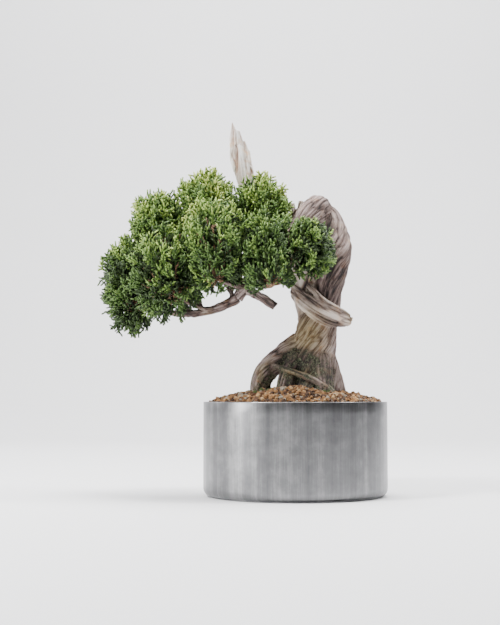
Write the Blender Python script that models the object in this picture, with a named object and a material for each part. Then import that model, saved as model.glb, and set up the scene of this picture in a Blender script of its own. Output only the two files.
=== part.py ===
"""A shohin juniper bonsai in a round metal pot.

The origin is the centre of the pot's flat underside. +Z is up, and the tree is seen from -Y.
All sizes below are in millimetres, and MM turns them into metres.
"""

import math

import bmesh
import bpy
import numpy as np

MM = 0.001
GAP = 0.3  # clearance between two pieces that touch on the real tree
GOLDEN_ANGLE = math.pi * (3 - math.sqrt(5))
SEED = 41

# The pot
POT_RADIUS = 70.0
POT_HEIGHT = 71.5
POT_WALL = 3.0
POT_FLOOR = 4.0
POT_SIDES = 40
FOOT_INSET = 4.0
FOOT_HEIGHT = 0.9
ROUND_HEIGHT = 7.0
RIM_BEVEL = 0.6
DRAIN_RADIUS = 5.0
DRAIN_CIRCLE = 36.0
DRAIN_COUNT = 3
DRAIN_TURN = 1.71

# The soil
SOIL_EDGE_DEPTH = 1.0  # below the rim, at the wall
SOIL_CROWN = 10.5  # height of the mound over its edge
SOIL_SHAPE = 2.6  # the higher, the flatter the top of the mound
SOIL_FRONT_BUMP = 3.0
SOIL_BUMP_AT = (-4.0, -34.0)
SOIL_BUMP_REACH = 17.0
SOIL_LUMPS = 0.5
SOIL_SIDES = 28
GROUND = 77.0  # the height of the trunk's flat cut

# The trunk's strands: stations of x, y, z and radius along each
COLUMN = [(15, 0, 64, 23), (15, 0, 78, 22), (14, 0, 92, 19.5), (13, 0, 106, 17.5), (15, 0, 118, 16.3),
          (16.8, 0, 129, 15.3), (19.5, 1, 140, 12.6), (19, 1, 148, 12.8)]
LEFT_BUTTRESS = [(13, 0, 119, 10), (2, -1, 113, 10), (-8, -2.5, 106.5, 9), (-16.5, -4, 100, 8.3),
                 (-23.5, -5, 92, 8), (-26.3, -5, 82, 7.9), (-27, -5, 66, 9)]
RIGHT_ROOT = [(20, 0, 106, 11), (26, 1, 95, 8.5), (30, 1, 84, 7.5), (33.5, 1, 65, 8)]
FRONT_ROOT = [(17, -6, 106, 10), (20, -15, 94, 8), (22, -20, 82, 7.5), (23, -23, 67, 8.5)]
BACK_ROOT = [(12, 6, 108, 10), (6, 15, 95, 8.5), (-1, 22, 82, 7.5), (-5, 26, 63, 8)]
RIGHT_BACK_ROOT = [(18, 6, 104, 9), (24, 16, 92, 7), (27, 22, 80, 6.5), (28, 24, 62, 7)]
MOSSY_ROOT = [(3, -6, 107, 8), (-3.5, -8, 97, 7), (-5.5, -9.5, 87, 7.6), (-6.5, -11, 76, 9), (-7, -12, 68, 9)]
BRIDGE_ROOT = [(-20, -8, 98, 3), (-14.5, -12, 98, 2.3), (-3, -18, 94.5, 2), (10, -22.5, 89.5, 2.3),
               (22, -25, 83, 3), (30, -27, 74, 3.4)]
DEAD_CORE = [(17, 2, 130, 13), (14, 3, 143, 12), (11, 4, 158, 12.4), (8, 6, 180, 10.5),
             (4.5, 7, 200, 8.5), (2.5, 7, 214, 6.2)]
LIVE_VEIN = [(23, -1, 134, 9), (25.5, -2.5, 145, 9), (26.5, -4, 155, 9.2), (27, -3, 166, 12.6),
             (27, -2, 178, 16), (27.3, -1, 190, 16.8), (27.3, 2, 202, 13.2), (25.5, 4, 211.5, 10.2),
             (20, 4.5, 219, 8)]
TURNED_LIMB = [(24, 4, 218.5, 6.5), (18.7, -3, 219.6, 10.2), (14.5, -11, 216.3, 10.7), (8, -19, 208, 9.3),
               (2.5, -25, 198, 7.8)]
TURNED_LIMB_SIDES = 9
STUB_LEFT = [(1, 7, 206, 4), (-1, 6.4, 217, 3), (-1.6, 6, 225.3, 1.9)]
STUB_RIGHT = [(4, 7, 206, 4.2), (4.6, 6, 218, 3.1), (5.2, 5.6, 227, 1.9)]

# The shelf of dead wood that winds round the neck: stations of x, y, z, half thickness and half height
SHELF = [(2, 9, 158, 3, 4.5), (-0.5, -2, 155.5, 3.5, 6), (6, -10.5, 149, 4.6, 6.6),
         (16.5, -15, 140.7, 5.2, 7.8), (27.5, -14, 135.3, 5.5, 7.8), (36.5, -7, 134, 5.2, 6.2),
         (39, 3, 134.5, 4.5, 5), (30, 13, 138, 4.5, 5.5),
         (14, 16, 146, 4, 5.5), (6, 13, 153, 3, 4)]
SHELF_LIP = [(31, -9, 136.5, 4.5), (38, -5, 135.3, 3.8), (43.4, -2.6, 134.2, 1.5)]
SHELF_ROPE = [(10, -8, 160.5, 2), (14, -12.5, 156, 2.2), (20.5, -15.5, 148.5, 2.2), (29, -14.5, 142.8, 2.3),
              (37, -8.5, 139.5, 2), (41.5, -3.5, 137, 1.6)]

# The dead apex, in splinters: stations of x, y, z, half width and half thickness
DEAD_APEX = [(-1, 10.5, 190, 6, 5.5), (-13, 14, 206, 7.2, 6), (-25, 15.5, 220, 7.2, 6),
             (-35, 15.5, 238, 7, 5.6), (-42.3, 15, 260, 7.8, 4.6), (-44.6, 15, 270, 6.6, 3.8)]
SPLINTERS = [[(-43, 15, 258, 5, 4), (-46.6, 15, 272, 4.4, 3.2), (-47.8, 14.6, 282, 3, 2.3),
              (-49, 14.4, 291.5, 0.6, 0.6)],
             [(-41, 15, 256, 5, 3.6), (-43.2, 14.6, 272, 4.2, 2.8), (-44.6, 14.4, 284.6, 1.5, 1.2)],
             [(-38.5, 15, 252, 4.8, 3.8), (-39.5, 15.2, 266, 4, 3), (-40.2, 15.4, 276.5, 1.4, 1.2)],
             [(-36, 15.5, 246, 4.4, 3.6), (-36.4, 15.8, 260, 3, 2.6), (-36.6, 16, 268.5, 1.1, 1)],
             [(-45, 15, 256, 4, 3.4), (-48.2, 14.8, 263, 2.8, 2.8), (-49.8, 14.6, 268, 1.3, 1.3)]]

APEX_CLEARANCE = 1.2  # round the trunk's strands, whose flutes stand proud of their radius

# The live limbs: the limb that carries each, how far along it, the bow of the middle, the tip and the radii
LIMBS = {
    "bough_descending": ("trunk", 1.0, (-1, -2.5, 2), (-43, -25, 149), 7.4, 4.4),
    "bough_left": ("bough_descending", 1.0, (2, -1.5, -9), (-114, -8, 145), 4.1, 1.6),
    "bough_stub": ("bough_descending", 0.88, (0, 0, 1), (-14.5, -27.5, 142.3), 3.9, 3.1),
    "bough_top": ("bough_descending", 0.93, (5, 2, 2), (-62, -5, 197), 2.7, 1.5),
    "bough_top_right": ("bough_descending", 0.5, (1.5, 0, 1), (-25, -12, 193), 2.6, 1.6),
    "bough_right": ("bough_descending", 0.7, (2, -5, -3), (-3, -40, 175), 2.6, 1.5),
    "bough_front": ("bough_descending", 0.85, (2, -3, -1.5), (-53, -42, 160), 2.3, 1.5),
    "bough_front_right": ("bough_descending", 0.72, (0, -2, -2), (-21, -42, 156), 2.2, 1.5),
    "bough_back": ("bough_left", 0.1, (6, 2, -4), (-60, 30, 171), 2.7, 1.5),
    "bough_upper_left": ("bough_left", 0.4, (1, 0, 3), (-99, 0, 189), 2.2, 1.4),
    "bough_front_left": ("bough_left", 0.28, (2, -3, -3), (-85, -31, 149), 1.9, 1.4),
    "bough_back_left": ("bough_left", 0.5, (5, 2, -4), (-98, 27, 156), 1.8, 1.3),
    "bough_back_right": ("bough_back", 0.4, (3, 3, -2), (-23, 31, 178), 2.0, 1.4),
}
LIMB_SIDES = 7
LIMB_RINGS = 7

# The masses of foliage: the bough that carries each, its centre, its reach each way and how low its twigs go
MASSES = {
    "foliage_left_tip": ("bough_left", (-128, -4, 161), (24, 33, 42), -0.97),
    "foliage_upper_left": ("bough_upper_left", (-103.5, 2, 207), (26, 35, 31), -0.6),
    "foliage_top": ("bough_top", (-68.5, 0, 218), (26, 35, 36), -0.6),
    "foliage_top_right": ("bough_top_right", (-25, -8, 213), (27, 31, 36), -0.6),
    "foliage_right": ("bough_right", (8.5, -41, 184), (24, 22, 24), -0.8),
    "foliage_front": ("bough_front", (-57, -37, 186), (30, 30, 41), -0.9),
    "foliage_front_left": ("bough_front_left", (-97, -31, 168), (32, 32, 40), -0.9),
    "foliage_front_right": ("bough_front_right", (-20, -41, 182), (27, 26, 35), -0.9),
    "foliage_back": ("bough_back", (-64, 35, 198), (31, 31, 43), -0.9),
    "foliage_back_left": ("bough_back_left", (-102, 31, 181), (31, 31, 39), -0.9),
    "foliage_back_right": ("bough_back_right", (-21, 34, 198), (30, 28, 36), -0.9),
}
TWIGS = 15  # that a mass would have if none were skipped
TWIG_RADIUS = 1.3
STEM_LENGTH = 5.0
TWIG_SHARES = (1.0, 0.93, 0.86, 0.79, 0.72, 0.65)  # of the way to its target that a twig tries to reach
SPRAY_LENGTH = 24.0
SPRAY_FINGERS = 5
SPRAY_SPREAD = math.radians(75)
SPRAY_THICKNESS = 1.5
SIDE_SPRAYS = ((0.85, 58),)  # how far along its twig each grows, and at what angle in degrees
SIDE_SIZE = 0.9  # of a tip spray
FINGER_REACH = (0.66, 0.12)  # of a spray's length, at its middle finger, and how much less at its side fingers
NOTCH_REACH = 0.33  # of a spray's length, between two fingers
PALM = 0.34  # how far along a spray its fingers part
SPRAY_ROOT = 0.12  # of a spray's length, sunk into its twig
CORE_SHARE = 0.64
CORE_CLEARANCE = 4.0
CORE_DROP = 0.06  # of a mass's reach, that its core lies below its centre
OUTERMOST = 1.02  # of a mass's reach
SPACE_MARGIN = 0.03  # of a mass's reach, kept free beside its neighbour
LIMB_CLEARANCE = 1.3
LIMB_GROWTH = 1.2 * GAP  # of a limb's radius, for cutting its neighbours clear of it

BARK = ("bark", (0.23, 0.15, 0.11), 0.85, 0.0)
DEADWOOD = ("deadwood", (0.62, 0.58, 0.54), 0.7, 0.0)
METAL = ("pot_metal", (0.55, 0.56, 0.56), 0.35, 1.0)
EARTH = ("soil", (0.42, 0.22, 0.09), 0.95, 0.0)
GREEN = ("foliage", (0.09, 0.22, 0.04), 0.6, 0.0)


def material(name, colour, roughness, metallic):
    """A Principled material, made once."""
    found = bpy.data.materials.get(name)
    if found:
        return found
    made = bpy.data.materials.new(name)
    made.use_nodes = True
    shader = made.node_tree.nodes["Principled BSDF"]
    shader.inputs["Base Color"].default_value = (*colour, 1.0)
    shader.inputs["Roughness"].default_value = roughness
    shader.inputs["Metallic"].default_value = metallic
    return made


def new_object(name, points, faces, finish, smooth=True):
    """An object whose mesh has these points, in millimetres."""
    mesh = bpy.data.meshes.new(name)
    mesh.from_pydata([tuple(float(c) * MM for c in p) for p in points], [], faces)
    mesh.materials.append(material(*finish))
    obj = bpy.data.objects.new(name, mesh)
    bpy.context.scene.collection.objects.link(obj)
    if smooth:
        mesh.shade_smooth()
        mesh.set_sharp_from_angle(angle=math.radians(40))
    return obj


def apply_modifiers(obj):
    """Turns the object's evaluated mesh into its own."""
    graph = bpy.context.evaluated_depsgraph_get()
    made = bpy.data.meshes.new_from_object(obj.evaluated_get(graph))
    old = obj.data
    obj.modifiers.clear()
    obj.data = made
    made.name = obj.name
    bpy.data.meshes.remove(old)


def keep_outer_shell(obj):
    """Drops loose scrap and fills sealed hollows: only the shell that encloses the most is kept."""
    shape = bmesh.new()
    shape.from_mesh(obj.data)
    left, shells = set(shape.verts), []
    while left:
        shell, edge = set(), [left.pop()]
        while edge:
            vert = edge.pop()
            shell.add(vert)
            near = [e.other_vert(vert) for e in vert.link_edges]
            edge += [v for v in near if v in left]
            left.difference_update(near)
        shells.append(shell)

    def enclosed(shell):
        faces = {f for v in shell for f in v.link_faces}
        return sum(f.verts[0].co.dot(f.verts[i].co.cross(f.verts[i + 1].co))
                   for f in faces for i in range(1, len(f.verts) - 1))

    largest = max(shells, key=enclosed)
    bmesh.ops.delete(shape, geom=[v for v in shape.verts if v not in largest], context="VERTS")
    shape.to_mesh(obj.data)
    shape.free()


def unite(obj, others):
    """Joins the other objects into obj by one Boolean union on a collection, and removes them."""
    collection = bpy.data.collections.new(obj.name + "_pieces")
    bpy.context.scene.collection.children.link(collection)
    for other in others:
        bpy.context.scene.collection.objects.unlink(other)
        collection.objects.link(other)
    joined = obj.modifiers.new("union", "BOOLEAN")
    joined.operation = "UNION"
    joined.operand_type = "COLLECTION"
    joined.collection = collection
    joined.solver = "MANIFOLD"
    apply_modifiers(obj)
    for other in others:
        bpy.data.objects.remove(other)
    bpy.data.collections.remove(collection)
    keep_outer_shell(obj)


def cut_away(obj, cutter):
    """Cuts the cutter's shape out of obj, and removes the cutter."""
    cut = obj.modifiers.new("cut", "BOOLEAN")
    cut.operation = "DIFFERENCE"
    cut.object = cutter
    cut.solver = "MANIFOLD"
    apply_modifiers(obj)
    bpy.data.objects.remove(cutter)
    keep_outer_shell(obj)


def unit(v):
    """The vector v at length one."""
    return v / np.linalg.norm(v)


def smooth_stations(stations, per_span):
    """Points between the stations, on a Catmull-Rom curve through all of them."""
    s = np.array(stations, float)
    s = np.vstack([2 * s[0] - s[1], s, 2 * s[-1] - s[-2]])
    made = []
    for k in range(1, len(s) - 2):
        a, b, c, d = s[k - 1 : k + 3]
        for t in np.arange(per_span) / per_span:
            made.append(0.5 * (2 * b + (c - a) * t + (2 * a - 5 * b + 4 * c - d) * t**2
                               + (3 * b - a - 3 * c + d) * t**3))
    made.append(s[-2])
    return np.array(made)


def frames(path, reference):
    """For each point of a path, the tangent and two directions across it, the second nearest the reference."""
    tangents = np.gradient(path, axis=0)
    tangents /= np.linalg.norm(tangents, axis=1)[:, None]
    side = np.cross(tangents, reference)
    side /= np.linalg.norm(side, axis=1)[:, None]
    return tangents, side, np.cross(side, tangents)


def tube(rings, reference, sides, flutes=0, flute_depth=0.0, twist=0.0):
    """Points and faces of a closed tube. A ring is x, y, z and its half sizes along the two directions across."""
    rings = np.asarray(rings, float)
    path = rings[:, :3]
    _, side, up = frames(path, reference)
    across, along = rings[:, 3], rings[:, 4] if rings.shape[1] > 4 else rings[:, 3]
    points = []
    for k in range(len(path)):
        turn = twist * k / (len(path) - 1)
        for a in 2 * math.pi * np.arange(sides) / sides:
            swell = 1 + flute_depth * math.cos(flutes * (a + turn))
            off = across[k] * math.cos(a) * side[k] + along[k] * math.sin(a) * up[k]
            points.append(path[k] + swell * off)
    faces = []
    for k in range(len(path) - 1):
        low, high = k * sides, (k + 1) * sides
        faces += [[low + j, low + (j + 1) % sides, high + (j + 1) % sides, high + j] for j in range(sides)]
    faces.append([j for j in reversed(range(sides))])
    faces.append([(len(path) - 1) * sides + j for j in range(sides)])
    return points, [list(reversed(f)) for f in faces]


def lathe(profile, sides, top=None):
    """Points and faces of a profile of radius and height turned round Z. It starts and ends on the axis."""
    points = [(0, 0, profile[0][1])]
    for radius, height in profile[1:-1]:
        for a in 2 * math.pi * np.arange(sides) / sides:
            x, y = radius * math.cos(a), radius * math.sin(a)
            points.append((x, y, top(x, y, height) if top else height))
    points.append((0, 0, top(0, 0, profile[-1][1]) if top else profile[-1][1]))
    last = len(points) - 1
    faces = [[0, 1 + (j + 1) % sides, 1 + j] for j in range(sides)]
    for k in range(len(profile) - 3):
        low, high = 1 + k * sides, 1 + (k + 1) * sides
        faces += [[low + j, low + (j + 1) % sides, high + (j + 1) % sides, high + j] for j in range(sides)]
    ring = last - sides
    faces += [[ring + j, ring + (j + 1) % sides, last] for j in range(sides)]
    return points, faces


def make_pot():
    """The round pot: a thin wall, a floor with drain holes and a rounded edge above a slightly smaller foot."""
    foot = POT_RADIUS - FOOT_INSET
    profile = [(0, 0), (foot - 0.6, 0), (foot - 0.6, FOOT_HEIGHT)]
    for a in np.radians([0, 30, 60, 90]):
        profile.append((foot + FOOT_INSET * math.sin(a),
                        FOOT_HEIGHT + 0.1 + (ROUND_HEIGHT - FOOT_HEIGHT) * (1 - math.cos(a))))
    inner = POT_RADIUS - POT_WALL
    profile += [(POT_RADIUS, POT_HEIGHT - RIM_BEVEL), (POT_RADIUS - RIM_BEVEL, POT_HEIGHT),
                (inner + RIM_BEVEL, POT_HEIGHT), (inner, POT_HEIGHT - RIM_BEVEL), (inner, POT_FLOOR),
                (0, POT_FLOOR)]
    pot = new_object("pot", *lathe(profile, POT_SIDES), METAL)
    for k in range(DRAIN_COUNT):
        a = DRAIN_TURN + 2 * math.pi * k / DRAIN_COUNT
        x, y = DRAIN_CIRCLE * math.cos(a), DRAIN_CIRCLE * math.sin(a)
        hole = [(x, y, -1, DRAIN_RADIUS), (x, y, POT_FLOOR + 1, DRAIN_RADIUS)]
        cut_away(pot, new_object("drain", *tube(hole, (0, 1, 0), 12), METAL))


def soil_height(x, y):
    """The height of the mound over a place."""
    share = max(0.0, 1 - (math.hypot(x, y) / (POT_RADIUS - POT_WALL)) ** SOIL_SHAPE)
    away = math.hypot(x - SOIL_BUMP_AT[0], y - SOIL_BUMP_AT[1]) / SOIL_BUMP_REACH
    bump = SOIL_FRONT_BUMP * math.exp(-away * away)
    return POT_HEIGHT - SOIL_EDGE_DEPTH + SOIL_CROWN * share + bump


def make_soil():
    """The mound that fills the pot, with a pocket that the trunk's foot stands in."""
    rng = np.random.default_rng(SEED)
    radius, floor = POT_RADIUS - POT_WALL - GAP, POT_FLOOR + GAP

    def top(x, y, height):
        return height if height == floor else soil_height(x, y) + rng.uniform(-SOIL_LUMPS, SOIL_LUMPS)

    profile = [(0, floor), (radius, floor)]
    profile += [(radius * share, POT_HEIGHT) for share in (1, 0.84, 0.68, 0.52, 0.36, 0.2)] + [(0, POT_HEIGHT)]
    soil = new_object("soil", *lathe(profile, SOIL_SIDES, top), EARTH)
    foot = trunk_solid("trunk_foot", GAP)
    floor_cut = slab("foot_floor", GROUND - GAP)
    cut_away(foot, floor_cut)
    cut_away(soil, foot)


def slab(name, top):
    """A block that reaches from far below up to this height."""
    half = 90.0
    square = [(-half, -half), (half, -half), (half, half), (-half, half)]
    points = [(x, y, z) for z in (top - half, top) for x, y in square]
    faces = [[3, 2, 1, 0], [4, 5, 6, 7], [0, 1, 5, 4], [1, 2, 6, 5], [2, 3, 7, 6], [3, 0, 4, 7]]
    return new_object(name, points, faces, EARTH, smooth=False)


def strand(name, stations, sides, per_span=2, reference=(0, 1, 0), grow=0.0, **shape):
    """One strand of the trunk as an object. grow widens it."""
    rings = smooth_stations(stations, per_span)
    rings[:, 3:] += grow
    return new_object(name, *tube(rings, reference, sides, **shape), BARK)


def trunk_solid(name, grow=0.0):
    """The trunk's strands, buttress and roots as one solid. Its foot still runs on below the ground."""
    trunk = strand(name, COLUMN, 12, grow=grow, flutes=5, flute_depth=0.05, twist=0.9)
    low = [strand("left_buttress", LEFT_BUTTRESS, 9, grow=grow, flutes=4, flute_depth=0.08, twist=0.5),
           strand("right_root", RIGHT_ROOT, 8, grow=grow),
           strand("front_root", FRONT_ROOT, 8, reference=(1, 0, 0), grow=grow),
           strand("back_root", BACK_ROOT, 8, reference=(1, 0, 0), grow=grow),
           strand("right_back_root", RIGHT_BACK_ROOT, 8, reference=(1, 0, 0), grow=grow),
           strand("bridge_root", BRIDGE_ROOT, 6, reference=(0, 0, 1), grow=grow),
           strand("mossy_root", MOSSY_ROOT, 8, reference=(1, 0, 0), grow=grow)]
    if grow:
        unite(trunk, low)
        return trunk
    high = [strand("dead_core", DEAD_CORE, 9, flutes=3, flute_depth=0.07, twist=1.2),
            strand("live_vein", LIVE_VEIN, 12, flutes=4, flute_depth=0.04, twist=1.6),
            strand("turned_limb", TURNED_LIMB, TURNED_LIMB_SIDES, reference=(1, 0, 0)),
            strand("shelf", SHELF, 8, reference=(0, 0, 1)),
            strand("shelf_lip", SHELF_LIP, 6, reference=(0, 0, 1)),
            strand("shelf_rope", SHELF_ROPE, 6, reference=(0, 0, 1)),
            strand("stub_left", STUB_LEFT, 6), strand("stub_right", STUB_RIGHT, 6)]
    unite(trunk, low + high)
    return trunk


def make_trunk():
    """The trunk from its flat cut at the ground to the end of the limb that turns over its top."""
    trunk = trunk_solid("trunk")
    cut_away(trunk, slab("ground_cut", GROUND))


def make_dead_apex():
    """The bleached, broken top: a flat limb that ends in splinters, cut clear of the trunk."""
    reference = (0, 1, 0)
    apex = strand("dead_apex", DEAD_APEX, 10, reference=reference, flutes=3, flute_depth=0.08, twist=0.8)
    unite(apex, [strand(f"splinter_{k}", s, 6, reference=reference) for k, s in enumerate(SPLINTERS)])
    apex.data.materials.clear()
    apex.data.materials.append(material(*DEADWOOD))
    for stations, sides in ((DEAD_CORE, 9), (LIVE_VEIN, 12)):
        cut_away(apex, strand("clear", stations, sides, grow=APEX_CLEARANCE))


class Limb:
    """A tapering limb that leaves its carrier and ends at its tip, on one bowed curve."""

    def __init__(self, start, bow, tip, start_radius, tip_radius):
        self.start, self.tip = np.array(start, float), np.array(tip, float)
        self.middle = (self.start + self.tip) / 2 + 2 * np.array(bow, float)
        self.radii = start_radius, tip_radius

    def at(self, t):
        """The point and radius at a share of the limb's length."""
        point = (1 - t) ** 2 * self.start + 2 * t * (1 - t) * self.middle + t * t * self.tip
        return point, self.radii[0] + (self.radii[1] - self.radii[0]) * t**0.8

    def direction(self, t):
        """The way the limb runs at a share of its length."""
        return unit((1 - t) * (self.middle - self.start) + t * (self.tip - self.middle))

    def rings(self, count, grow=0.0):
        """Stations of x, y, z and radius."""
        rows = []
        for t in np.linspace(0, 1, count):
            point, radius = self.at(t)
            rows.append([*point, radius + grow])
        return rows


def reference_for(limb):
    """A direction that a limb never runs along."""
    return (0, 1, 0) if abs(limb.direction(0.5)[1]) < 0.6 else (1, 0, 0)


def work_out_limbs():
    """Every limb as a curve, in the order of the table, so that a carrier comes before what it carries."""
    limbs = {}
    end = np.array(TURNED_LIMB[-1][:3], float)
    for name, (carrier, share, bow, tip, start_radius, tip_radius) in LIMBS.items():
        start = end if carrier == "trunk" else limbs[carrier].at(share)[0]
        limbs[name] = Limb(start, bow, tip, start_radius, tip_radius)
    return limbs


def widened(rings):
    """A limb's rings, made wider and longer by the gap that its neighbours keep."""
    rings = np.array(rings)
    rings[:, 3:] += LIMB_GROWTH
    beyond = rings[-1].copy()
    beyond[:3] += GAP * unit(rings[-1, :3] - rings[-2, :3])
    return np.vstack([rings, beyond])


def make_limbs(limbs):
    """Each limb's solid, cut clear of what carries it."""
    for name, (carrier, *_) in LIMBS.items():
        limb = limbs[name]
        obj = new_object(name, *tube(limb.rings(LIMB_RINGS), reference_for(limb), LIMB_SIDES), BARK)
        if carrier == "trunk":
            rings, reference, sides = smooth_stations(TURNED_LIMB, 2), (1, 0, 0), TURNED_LIMB_SIDES
        else:
            rings, sides = limbs[carrier].rings(LIMB_RINGS), LIMB_SIDES
            reference = reference_for(limbs[carrier])
        cut_away(obj, new_object("clear", *tube(widened(rings), reference, sides), BARK))


def obstacles(limbs):
    """Balls of x, y, z and radius along all the wood, which foliage stays clear of."""
    rows = []
    for stations in (COLUMN, DEAD_CORE, LIVE_VEIN, TURNED_LIMB, DEAD_APEX, SHELF, STUB_LEFT, STUB_RIGHT):
        rows.append(smooth_stations(stations, 5)[:, :4])
    rows += [smooth_stations(s, 4)[:, :4] for s in SPLINTERS]
    rows += [np.array(limb.rings(16)) for limb in limbs.values()]
    return np.vstack(rows)


class Mass:
    """One mass of foliage: an ellipsoid space round a stem at its bough's tip."""

    def __init__(self, name, limb, centre, reach, lowest, index):
        self.name, self.limb = name, limb
        self.centre, self.reach, self.lowest = np.array(centre, float), np.array(reach, float), lowest
        self.rng = np.random.default_rng(SEED + 7 * index)
        self.foot = limb.tip
        self.fork = self.foot + STEM_LENGTH * limb.direction(1)
        self.heart = self.centre - np.array([0, 0, CORE_DROP]) * self.reach

    def depth(self, points):
        """How far out points lie, as a share of the mass's reach."""
        return np.linalg.norm((np.asarray(points) - self.centre) / self.reach, axis=-1)


def in_own_space(mass, masses, blocks, points, clearance=LIMB_CLEARANCE):
    """Whether all of these points lie in the mass's own space and clear of every limb."""
    points = np.atleast_2d(points)
    own = mass.depth(points)
    if (own > OUTERMOST).any():
        return False
    for other in masses:
        if other is not mass and (other.depth(points) < own + SPACE_MARGIN).any():
            return False
    gaps = np.linalg.norm(points[:, None] - blocks[None, :, :3], axis=2) - blocks[:, 3]
    return bool((gaps > clearance).all())


def blade(root, ahead, flat_side, length):
    """A toothed blade for one spray: fingers round a palm, thickest at its middle and sharp at its rim."""
    across = unit(np.cross(flat_side, ahead))
    face = np.cross(ahead, across)
    palm = root + PALM * length * ahead
    rim = [root - SPRAY_ROOT * length * ahead]
    angles = np.linspace(-SPRAY_SPREAD, SPRAY_SPREAD, SPRAY_FINGERS)
    for k, a in enumerate(angles):
        reach = length * (FINGER_REACH[0] - FINGER_REACH[1] * abs(a) / SPRAY_SPREAD)
        rim.append(palm + reach * (math.cos(a) * ahead - math.sin(a) * across))
        if k < SPRAY_FINGERS - 1:
            middle = (a + angles[k + 1]) / 2
            rim.append(palm + NOTCH_REACH * length * (math.cos(middle) * ahead - math.sin(middle) * across))
    points = rim + [palm + SPRAY_THICKNESS * face, palm - SPRAY_THICKNESS * face]
    count = len(rim)
    faces = [[k, (k + 1) % count, count] for k in range(count)]
    faces += [[(k + 1) % count, k, count + 1] for k in range(count)]
    return points, faces


def facing_out(points, faces):
    """The same faces, turned over if they enclose a negative volume."""
    p = np.array(points, float)
    volume = sum(np.dot(p[f[0]], np.cross(p[f[i]], p[f[i + 1]])) for f in faces for i in range(1, len(f) - 1))
    return faces if volume > 0 else [list(reversed(f)) for f in faces]


def twig_curve(mass, target, t):
    """A point on the twig from the mass's fork to its target. It leaves the fork steeply and bends outward."""
    lift = mass.fork + (target - mass.fork) * 0.45 + np.array([0, 0, 0.10 * np.linalg.norm(target - mass.fork)])
    return (1 - t) ** 2 * mass.fork + 2 * t * (1 - t) * lift + t * t * target


def twig_targets(mass):
    """Where the mass's twigs head for: points spread evenly over its outside by the golden angle."""
    turn = mass.rng.uniform(0, 2 * math.pi)
    for k in range(TWIGS):
        height = 1 - (k + 0.5) / TWIGS * (1 - mass.lowest)
        flat = math.sqrt(1 - height * height)
        a = turn + k * GOLDEN_ANGLE
        yield mass.centre + mass.reach * np.array([flat * math.cos(a), flat * math.sin(a), height])


def core_shape(mass, masses, blocks):
    """A smaller rounded core, drawn in wherever it would leave the mass's space or meet a limb."""
    rows, sides = 5, 8
    points = []
    for k in range(rows):
        tilt = math.pi * (k + 0.5) / rows
        for j in range(sides):
            a = 2 * math.pi * (j + 0.5 * (k % 2)) / sides
            way = np.array([math.sin(tilt) * math.cos(a), math.sin(tilt) * math.sin(a), math.cos(tilt)])
            points.append(drawn_in(mass, masses, blocks, way))
    points.append(drawn_in(mass, masses, blocks, np.array([0, 0, 1.0])))
    points.append(drawn_in(mass, masses, blocks, np.array([0, 0, -1.0])))
    top, bottom = rows * sides, rows * sides + 1
    faces = [[top, j, (j + 1) % sides] for j in range(sides)]
    for k in range(rows - 1):
        for j in range(sides):
            a, b = k * sides + j, k * sides + (j + 1) % sides
            faces.append([a, a + sides, b + sides, b])
    faces += [[bottom, (rows - 1) * sides + (j + 1) % sides, (rows - 1) * sides + j] for j in range(sides)]
    return points, facing_out(points, triangulated(faces))


def triangulated(faces):
    """The same faces as triangles."""
    return [[f[0], f[i], f[i + 1]] for f in faces for i in range(1, len(f) - 1)]


def drawn_in(mass, masses, blocks, way):
    """The core's surface along a direction from the mass's core centre."""
    for share in np.arange(CORE_SHARE, 0.1, -0.05):
        point = mass.heart + share * mass.reach * way
        if in_own_space(mass, masses, blocks, point, CORE_CLEARANCE):
            return point
    return mass.heart + 0.1 * mass.reach * way


def make_mass(mass, masses, blocks, limbs):
    """The mass's core, stem, twigs and sprays, joined into one solid and cut clear of the limbs."""
    core = new_object(mass.name, *core_shape(mass, masses, blocks), GREEN, smooth=False)
    stem_rings = [[*mass.foot, mass.limb.radii[1]], [*mass.fork, TWIG_RADIUS * 1.2], [*mass.heart, TWIG_RADIUS]]
    pieces = [new_object("stem", *tube(stem_rings, reference_for(mass.limb), 5), GREEN, smooth=False)]
    for target in twig_targets(mass):
        pieces += twig_pieces(mass, masses, blocks, target)
    unite(core, pieces)
    for limb in limbs.values():
        if mass.depth(np.array(limb.rings(LIMB_RINGS))[:, :3]).min() < 1.1:
            clear = tube(widened(limb.rings(LIMB_RINGS)), reference_for(limb), LIMB_SIDES)
            cut_away(core, new_object("clear", *clear, GREEN))
    core.data.shade_flat()


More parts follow.
